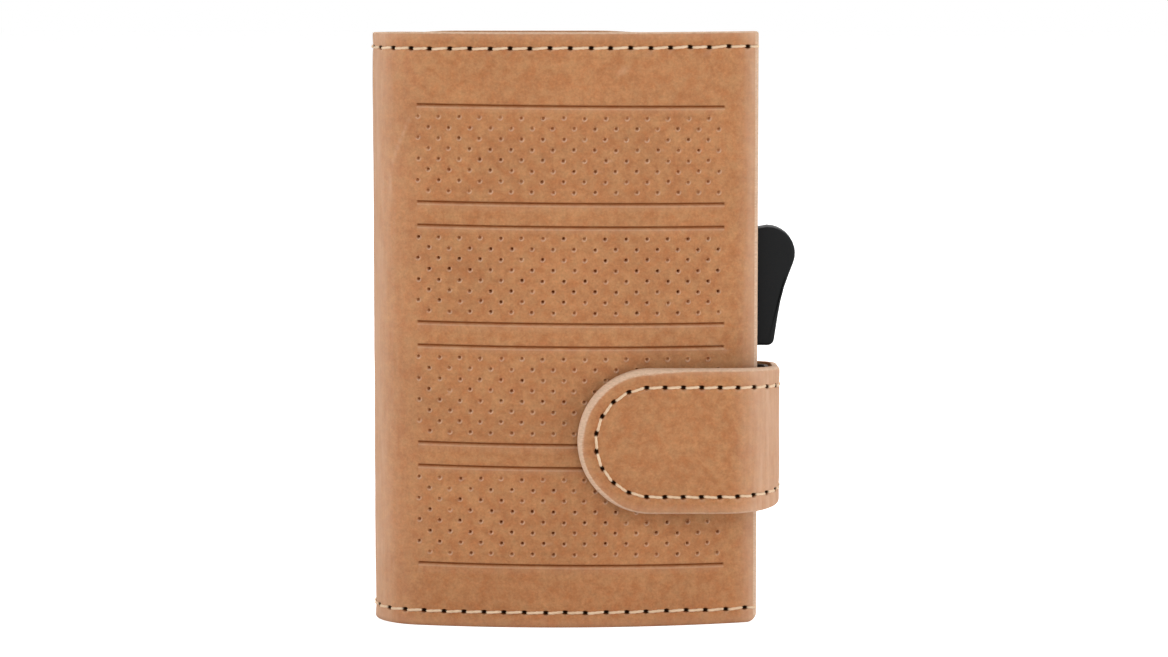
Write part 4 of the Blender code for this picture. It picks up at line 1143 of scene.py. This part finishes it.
# The strap's lining is painted near black, so that it stands for the shade seen inside the strap's bend
shade_dark_lining = leather_paint(
    "dark_lining_look", yellow=(0.062, 0.040, 0.028), red=(0.042, 0.026, 0.018), pale=(0.09, 0.06, 0.045),
    raw=(0.10, 0.07, 0.05),
)
thread = thread_paint()
lever_plastic = plastic_paint("lever_plastic_look", (0.0070, 0.0074, 0.0079), roughness=0.48, specular=0.14)
inner_plastic = plastic_paint("inner_plastic_look", (0.022, 0.022, 0.024), roughness=0.52, specular=0.40)
aluminium = metal_paint("aluminium_look", (0.60, 0.61, 0.63), 0.40, (9000, 9000, 120), CASE_BRUSHING)
steel = metal_paint("steel_look", (0.60, 0.60, 0.62), 0.26, (2500, 2500, 2500), STEEL_BRUSHING)
felt = felt_paint()
tape = tape_paint()


# The folds: each bend's axis and the way across it are found, and the piece is baked where it lies


def fold(part, radius, degrees, toward):
    """The point where this bend faces the angle, and the way across the fold there."""
    start, _, place = ROUTE.parts[part]
    first = place(np.array([0.0]))[1][0]
    turned = (math.radians(degrees) - math.atan2(first[1], first[0])) % (2 * math.pi)
    x, y, _ = on_hide(np.array([start + turned * radius]), np.zeros(1), np.zeros(1))[0]
    return Vector((x, y, 0)), Vector((*toward, 0)).normalized()


def blend_back(piece):
    axis, along = fold(BACK_BEND, BACK_BEND_RADIUS, 135, (-1, -1))
    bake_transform(piece)


def blend_front(piece):
    axis, along = fold(SPINE, SPINE_RADIUS, 225, (1, -1))
    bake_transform(piece)


def blend_strap_tip(piece):
    axis, along = fold(STRAP_BEND, STRAP_FRONT_BEND_RADIUS, -45, (-1, -1))
    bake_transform(piece)


def blend_strap_root(piece):
    axis, along = fold(ROOT_BEND, STRAP_BACK_BEND_RADIUS, 45, (1, -1))
    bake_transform(piece)


# Cover


def make_cover():
    back = cover_piece(
        "cover_back_leather", PANEL_EDGE, SPINE_SPLIT, seam_rows(), BACK_ROW_SPACE, (PANEL_EDGE,), tan
    )
    front = cover_piece(
        "cover_front_leather", SPINE_SPLIT, FREE_EDGE, seam_rows() + pattern_rows(), FRONT_ROW_SPACE,
        (FREE_EDGE,), tan,
    )
    blend_back(back)
    blend_front(front)
    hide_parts("back_leather")
    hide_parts("spine_leather", "front_leather")

    def lining(name, start, stop):
        low, high = shifted(cover_low, LINING_INSET), shifted(cover_high, -LINING_INSET)
        return lining_piece(name, start, stop, LINING_DEPTH, LINING, low, high, tan_inside, "lining_leather")

    back_lining = lining("cover_back_lining", PANEL_EDGE + LINING_INSET, SPINE_SPLIT)
    front_lining = lining("cover_front_lining", SPINE_SPLIT, FREE_EDGE - LINING_INSET)
    blend_back(back_lining)
    blend_front(front_lining)
    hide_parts("back_lining")
    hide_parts("spine_lining", "front_lining")


def make_cover_seams():
    inside = LINING_DEPTH + LINING
    in_pockets = inside + 2 * (FIT_GAP + POCKET_SHEET)

    for name, start, stop, cut, bend in (
        ("cover_back_seams", PANEL_EDGE, SPINE_SPLIT, PANEL_EDGE, blend_back),
        ("cover_front_seams", SPINE_SPLIT, FREE_EDGE, FREE_EDGE, blend_front),
    ):
        stitches = []
        for seam, holes in cover_seams:
            places = sorted(zip(holes.s, holes.z))
            for a, b in pairwise(places):
                middle = (a[0] + b[0]) / 2
                if start < middle <= stop:
                    pocketed = seam is bottom_seam and POCKET_START < middle < POCKET_STOP
                    stitches.append(stitch(a, b, 0, 1))
                    stitches.append(stitch(a, b, in_pockets if pocketed else inside, -1))
            last = places[0] if cut == PANEL_EDGE else places[-1]
            stitches.append(edge_stitch(last, cut, inside))
        bend(thread_mesh(name, stitches))


# Strap


def strap_half(s):
    """Half the strap's width: a round tip, straight sides, then a taper to the root and a flare."""
    tip = np.clip(STRAP_HALF - s, 0, STRAP_HALF)
    round_tip = np.sqrt(STRAP_HALF**2 - tip**2)
    bend, root = ROUTE.start_of(STRAP_BEND), ROUTE.end_of(ROOT_BEND)
    taper = STRAP_ROOT_NARROWER * smooth((s - bend) / (root - bend))
    u = np.clip(s - PANEL_EDGE + STRAP_FLARE_RADIUS, 0, STRAP_FLARE_RADIUS)
    flare = STRAP_FLARE_RADIUS - np.sqrt(STRAP_FLARE_RADIUS**2 - u**2)
    return round_tip - taper + flare


def straight_half(s):
    """The same without the round tip."""
    return strap_half(np.maximum(s, STRAP_HALF))


def strap_seam_places():
    """Holes along the lower side, round the tip and along the upper side, as (distance, height)."""
    radius = STRAP_HALF - STRAP_SEAM_INSET
    quarter = math.pi / 2 * radius
    longest = quarter + PANEL_EDGE - STRAP_SEAM_ENDS - STRAP_HALF
    half_count = round(longest / STRAP_STITCH_PITCH)
    places = []
    for i in range(-half_count, half_count):
        run = (i + 0.5) * STRAP_STITCH_PITCH
        if abs(run) < quarter:
            s = STRAP_HALF - radius * math.cos(run / radius)
            up = radius * math.sin(run / radius)
        else:
            s = STRAP_HALF + abs(run) - quarter
            before_flare = np.array([min(s, PANEL_EDGE - STRAP_FLARE_RADIUS)])
            up = math.copysign(straight_half(before_flare)[0] - STRAP_SEAM_INSET, run)
        places.append((s, STRAP_CENTRE - STRAP_SEAM_DROP + up))
    return places


strap_places = strap_seam_places()
strap_holes = sewn_holes(*zip(*strap_places))


def strap_edge_width(s, z):
    """The undyed edge's width: widest at the tip's upper side, narrowest underneath, with the upper side
    widened as painted light and the underside narrowed as painted shade.
    """
    up = (z - STRAP_CENTRE) / STRAP_HALF
    tip = smooth((STRAP_HALF - s) / STRAP_HALF) * np.clip(up - STRAP_RIM_TIP_FROM, 0, 1)
    near_tip = smooth(STRAP_NEAR_TIP_TO - s / STRAP_HALF)
    under = smooth((-up - STRAP_RIM_UNDER_FROM) / STRAP_RIM_UNDER_SOFT)
    added = (STRAP_RIM_NEAR_TIP + STRAP_RIM_UPPER_LIT * np.clip(up, 0, 1)) * near_tip + STRAP_RIM_TIP * tip
    less = (STRAP_RIM_UNDER_SHADED + STRAP_RIM_UNDER_SHADED_NEAR_TIP * near_tip) * under
    return STRAP_EDGE_ROUND * (STRAP_RIM + added - less)


def strap_relief(s, z):
    """The strap's seam, its soft unevenness, its paler edge, painted sheen on its bend, and a rim more
    undyed on the upper side as painted light.
    """
    v = z - STRAP_CENTRE
    inset = straight_half(s) - np.hypot(np.clip(STRAP_HALF - s, 0, None), v)
    pressed_in = strap_waves.at(s, z)
    pressed_in += SEAM_VALLEY * np.exp(-(((inset - STRAP_SEAM_INSET) / SEAM_VALLEY_WIDTH) ** 2))
    # paler edge from wear, and painted sheen past the start of the bend
    past_bend = s - ROUTE.start_of(STRAP_BEND) - STRAP_BEND_SHEEN_FROM
    wear_and_light = paler_near_edge(inset, *STRAP_EDGE_WEAR) + smooth(past_bend / STRAP_BEND_SHEEN_SOFT)
    dark = np.zeros(len(s))
    strap_holes.add_to(s, z, pressed_in, dark, wear_and_light)
    # the undyed rim is stronger towards the upper side: painted light from above
    tip = smooth(STRAP_RIM_STRENGTH_TO - s / STRAP_HALF)
    upper = STRAP_RIM_STRENGTH_UPPER_LIT * smooth(v / STRAP_HALF)
    rim = STRAP_RIM_STRENGTH + (1 - STRAP_RIM_STRENGTH) * np.maximum(tip, upper)
    return pressed_in, np.column_stack((dark, rim, np.clip(wear_and_light, 0, 1)))


def tip_angles():
    """Angles round the strap's tip, from below: even, and close together at the holes."""
    radius = STRAP_HALF - STRAP_SEAM_INSET
    found = list(np.linspace(0, math.pi, TIP_STEPS + 1)[1:-1])
    for s, z in strap_places:
        if s < STRAP_HALF:
            middle = math.atan2(STRAP_HALF - s, STRAP_CENTRE - z)
            found.extend(middle + HOLE_STEPS / radius)
    kept = [0.0]
    for angle in sorted(found):
        if (angle - kept[-1]) * radius > 2 * CLOSEST and angle < math.pi - CLOSEST / radius:
            kept.append(angle)
    return kept[1:]


def strap_outline(offset, fine, inner_heights=()):
    """Points of a line this far inside the strap's edge, round the tip from the lower side to the upper."""
    radius = STRAP_HALF - offset
    straight = columns(STRAP_HALF, STRAP_SPLIT, fine)
    half = strap_half(straight) - offset
    angles = tip_angles()
    if len(inner_heights):
        angles = sorted({math.acos(np.clip(-v / radius, -1, 1)) for v in inner_heights})
    angles = np.array(angles)
    s = np.concatenate((straight[::-1], STRAP_HALF - radius * np.sin(angles), straight))
    z = STRAP_CENTRE + np.concatenate((-half[::-1], -radius * np.cos(angles), half))
    key = np.concatenate((-straight[::-1], STRAP_HALF * (2 * angles / math.pi - 1), straight))
    return s, z, key


def strap_tip_piece(name, start_offset, depth, thickness, edge, relief, surface):
    """The strap's round end, from rows that run round it and level rows inside the seam."""
    skin = Skin()
    fine = around([s for s, _ in strap_places if s > STRAP_HALF], HOLE_STEPS)
    inner_offset = start_offset + STRAP_INNER
    inner_half = STRAP_HALF - STRAP_INNER
    inner_heights = np.linspace(-inner_half, inner_half, INNER_ROWS)[1:-1]

    def front_row(inset, heights=()):
        s, z, key = strap_outline(start_offset + inset, fine, heights)
        pressed_in, finish = relief(s, z)
        finish[:, 1] *= undyed(inset, strap_edge_width(s, z) * edge / STRAP_EDGE_ROUND)
        near = inset / edge
        drop = edge_drop(near, min(edge, thickness * EDGE_DEPTH_SHARE))
        return skin.row(s, z, depth + drop + pressed_in * smooth(near), finish, key)

    def back_row(offset, share, raw=0.0, heights=()):
        s, z, key = strap_outline(offset, (), heights)
        finish = np.tile((0.0, raw, 0.0), (len(s), 1))
        return skin.row(s, z, np.full(len(s), depth + thickness * share), finish, key)

    def level_row(v, extra, outside):
        """A level row from the inner line's round end to the split."""
        radius = STRAP_HALF - inner_offset
        s = straight = columns(STRAP_HALF, STRAP_SPLIT, extra)
        if abs(v) < radius:
            left = STRAP_HALF - math.sqrt(radius**2 - v**2)
            lead = np.arange(left, STRAP_HALF, FLAT_STEP / 2)
            lead = lead[(lead - left > CLOSEST) & (STRAP_HALF - lead > CLOSEST)]
            s = np.array(sorted({left, *lead, *straight}))
        z = STRAP_CENTRE + v / radius * (straight_half(s) - inner_offset)
        if not outside:
            return skin.row(s, z, np.full(len(s), depth + thickness))
        pressed_in, finish = relief(s, z)
        finish[:, 1] = 0
        return skin.row(s, z, depth + pressed_in, finish)

    back = back_row(start_offset, 1)
    rows = [back, *(back_row(start_offset, share, 1.0) for share in reversed(CUT_SHARES))]
    rows += [front_row(inset) for inset in STRAP_INSETS]
    skin.join_all([*rows, front_row(STRAP_INNER, inner_heights)])
    skin.join(back, back_row(inner_offset, 1, 0.0, inner_heights))
    ends = STRAP_HALF - inner_offset
    for extra, outside in ((fine, True), ((), False)):
        skin.join_all([level_row(v, extra, outside) for v in (-ends, *inner_heights, ends)])
    return skin.build(name, surface)


def strap_low(s):
    return STRAP_CENTRE - strap_half(s)


def strap_high(s):
    return STRAP_CENTRE + strap_half(s)


def make_strap():
    tip = strap_tip_piece(
        "strap_tip_leather", 0.0, 0.0, LEATHER, STRAP_EDGE_ROUND, strap_relief, tan
    )
    blend_strap_tip(tip)
    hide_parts("strap_tip_outer")
    inner = strap_tip_piece(
        "strap_tip_inside", LINING_INSET, LINING_DEPTH, STRAP_LINING, THIN_EDGE_ROUND, plain_relief,
        shade_dark_lining,
    )
    blend_strap_tip(inner)
    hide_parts("strap_tip_lining")

    holes = (around([s for s, _ in strap_places], HOLE_STEPS),)
    lower, upper = edge_rows(strap_low, strap_high, STRAP_INSETS, holes)
    middle = [(share_line(strap_low, strap_high, share), 0, ()) for share in STRAP_MIDDLE_SHARES]
    root = sheet_piece(
        "strap_root_leather", STRAP_SPLIT, PANEL_EDGE, lower + middle + upper, strap_low, strap_high, 0,
        LEATHER, STRAP_EDGE_ROUND, strap_relief, tan,
    )
    blend_strap_root(root)
    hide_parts("strap_side_outer")
    root_inner = lining_piece(
        "strap_root_inside", STRAP_SPLIT, PANEL_EDGE, LINING_DEPTH, STRAP_LINING,
        shifted(strap_low, LINING_INSET), shifted(strap_high, -LINING_INSET), shade_dark_lining, "strap_lining",
    )
    blend_strap_root(root_inner)
    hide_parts("strap_side_lining")


def make_strap_seams():
    tip, root = [], []
    for a, b in pairwise(strap_places):
        stitches = tip if (a[0] + b[0]) / 2 < STRAP_SPLIT else root
        stitches.append(stitch(a, b, 0, 1))
        stitches.append(stitch(a, b, LINING_DEPTH + STRAP_LINING, -1))
    blend_strap_tip(thread_mesh("strap_tip_seam", tip))
    blend_strap_root(thread_mesh("strap_root_seam", root))


# Pockets


def make_pockets():
    depth = LINING_DEPTH + LINING + FIT_GAP
    middle = (POCKET_START + POCKET_STOP) / 2
    ends = (POCKET_START, POCKET_STOP)
    low = shifted(level, note_low.z)

    def card_top(s):
        share = np.clip(np.abs(s - middle) / NOTCH_HALF_WIDTH, 0, 1)
        return card_high.z - NOTCH_DEPTH * np.sqrt(1 - share**2)

    note = lining_piece(
        "note_pocket_leather", *ends, depth, POCKET_SHEET, low, shifted(level, note_high.z), tan_inside,
        "lining_leather", ends,
    )
    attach(note, "front")
    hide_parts("note_pocket")
    notch = (middle - NOTCH_HALF_WIDTH * np.cos(np.linspace(0, math.pi, NOTCH_STEPS)),)
    card = lining_piece(
        "card_pocket_leather", *ends, depth + POCKET_SHEET + FIT_GAP, POCKET_SHEET, low, card_top, tan,
        "tan_leather", ends, notch,
    )
    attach(card, "front")
    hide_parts("card_pocket")


# Rigid pieces


def ease_edges(piece, edge):
    ease = piece.modifiers.new("eased_edges", "BEVEL")
    ease.width = edge
    ease.segments = 2
    ease.limit_method = "ANGLE"
    ease.angle_limit = EASED_ANGLE
    ease.harden_normals = False


def make_lever():
    """The lever's mesh with its waist drawn in, where the solid is a little too full."""
    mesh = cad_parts["thumb_lever"].data.copy()
    mesh.transform(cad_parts["thumb_lever"].matrix_world)
    mesh.materials.clear()
    low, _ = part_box("thumb_lever")
    for vertex in mesh.vertices:
        above = vertex.co.z - low.z - WAIST_HEIGHT
        drawn = math.exp(-((above / (WAIST_ABOVE if above > 0 else WAIST_BELOW)) ** 2))
        out = (vertex.co.x - low.x - WAIST_FROM_CASE) / MM
        vertex.co.x -= WAIST_DRAW * drawn * float(smooth(out))
    lever = new_object("thumb_lever_look", mesh, lever_plastic)
    ease_edges(lever, LEVER_EASE)
    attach(lever, "ejector")
    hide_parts("thumb_lever")


def dress_solids():
    """Better paint on the other solids, and their sharp edges eased."""
    for surface, edge, nodes in (
        (aluminium, CASE_EASE, ("case_shell",)),
        (inner_plastic, CASE_EASE, ("case_bottom_cap",)),
        (inner_plastic, MOULDED_EASE, ("slide_guide", "ejector_foot", "ejector_carriage")),
        (felt, FELT_EASE, ("friction_pad_front", "friction_pad_back")),
        (tape, TAPE_EASE, ("case_tape",)),
        (steel, STEEL_EASE, ("lever_pin_upper", "lever_pin_lower", "strap_magnet", "front_keeper")),
    ):
        for node in nodes:
            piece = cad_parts[node]
            for held in piece.material_slots:
                held.material = surface
            ease_edges(piece, edge)


# Studio

CAMERA_DISTANCE = 720 * MM
CAMERA_ELEVATION = math.radians(6.4)
CAMERA_LENS_MM = 128.8
CAMERA_SENSOR_MM = 36
CAMERA_AIM = Vector((-0.07 * MM, 0, 50.74 * MM))
CAMERA_NEAREST = 10 * MM
CAMERA_FURTHEST = 20
AMBIENT = 0.18  # the light that the world gives, where it is seen at 1
FLOOR_GLOW = 0.80  # as the camera sees the floor
FLOOR_REFLECTED_GLOW = 0.15
FLOOR_COLOUR = (0.90, 0.90, 0.90)
FLOOR_HALF = 2.5
LIGHTED = Vector((0, 0, 0.05))
# Lamps: name, place, size and power
LAMPS = (
    ("key_above", (-0.14, -0.66, 0.62), (0.8, 0.5), 1.98),
    ("front", (0.16, -1.10, 0.02), (0.8, 0.5), 3.05),
    ("fill_left", (-0.85, -0.22, 0.10), (0.5, 0.7), 4.1),
    ("fill_right", (0.85, -0.30, 0.08), (0.5, 0.7), 5.1),
    ("back_above", (0.15, 0.50, 0.90), (0.8, 0.6), 6.9),
)


def make_camera():
    data = bpy.data.cameras.new("camera")
    data.lens = CAMERA_LENS_MM
    data.sensor_width = CAMERA_SENSOR_MM
    data.clip_start = CAMERA_NEAREST
    data.clip_end = CAMERA_FURTHEST
    camera = linked("camera", data)
    back = Vector((0, -math.cos(CAMERA_ELEVATION), math.sin(CAMERA_ELEVATION)))
    camera.location = CAMERA_AIM + back * CAMERA_DISTANCE
    camera.rotation_euler = (-back).to_track_quat("-Z", "Y").to_euler()
    bpy.context.scene.camera = camera


def seen_glow(tree, total, camera, elsewhere):
    """A glow for every ray, and more of it for what the camera, a reflection or a transparent piece sees."""
    path = tree.nodes.new("ShaderNodeLightPath")
    for name, more in (
        ("Is Camera Ray", camera), ("Is Glossy Ray", elsewhere), ("Is Transmission Ray", elsewhere),
    ):
        node = tree.nodes.new("ShaderNodeMath")
        node.operation = "MULTIPLY_ADD"
        node.use_clamp = True  # as a ray can be two of these at once
        node.inputs[1].default_value = more
        tree.links.new(path.outputs[name], node.inputs[0])
        if isinstance(total, bpy.types.NodeSocket):
            tree.links.new(total, node.inputs[2])
        else:
            node.inputs[2].default_value = total
        total = node.outputs[0]
    return total


def make_floor():
    """White paper, which shows as white and keeps the wallet's shadow."""
    mesh = bpy.data.meshes.new("floor")
    corners = [(x * FLOOR_HALF, y * FLOOR_HALF, 0) for x, y in ((-1, -1), (1, -1), (1, 1), (-1, 1))]
    mesh.from_pydata(corners, [], [(0, 1, 2, 3)])
    floor = linked("floor", mesh)
    paper = Paint("floor_paper", roughness=0.9, specular=0.1)
    paper.shader.inputs["Base Color"].default_value = (*FLOOR_COLOUR, 1)
    paper.shader.inputs["Emission Color"].default_value = (1, 1, 1, 1)
    glow = seen_glow(paper.tree, 0.0, FLOOR_GLOW, FLOOR_REFLECTED_GLOW)
    paper.tree.links.new(glow, paper.shader.inputs["Emission Strength"])
    mesh.materials.append(paper.material)


def make_lights():
    for name, place, size, power in LAMPS:
        data = bpy.data.lights.new(name, "AREA")
        data.shape = "RECTANGLE"
        data.size, data.size_y = size
        data.energy = power
        lamp = linked(name, data)
        lamp.location = place
        lamp.rotation_euler = (LIGHTED - lamp.location).to_track_quat("-Z", "Y").to_euler()
    world = bpy.data.worlds.new("studio")
    bpy.context.scene.world = world
    world.use_nodes = True
    shine = world.node_tree.nodes["Background"]
    shine.inputs["Color"].default_value = (1, 1, 1, 1)
    glow = seen_glow(world.node_tree, AMBIENT, 1 - AMBIENT, 1 - AMBIENT)
    world.node_tree.links.new(glow, shine.inputs["Strength"])


make_cover()
make_cover_seams()
make_strap()
make_strap_seams()
make_pockets()
make_lever()
dress_solids()
make_camera()
make_floor()
make_lights()
bpy.context.scene.view_settings.view_transform = "Standard"
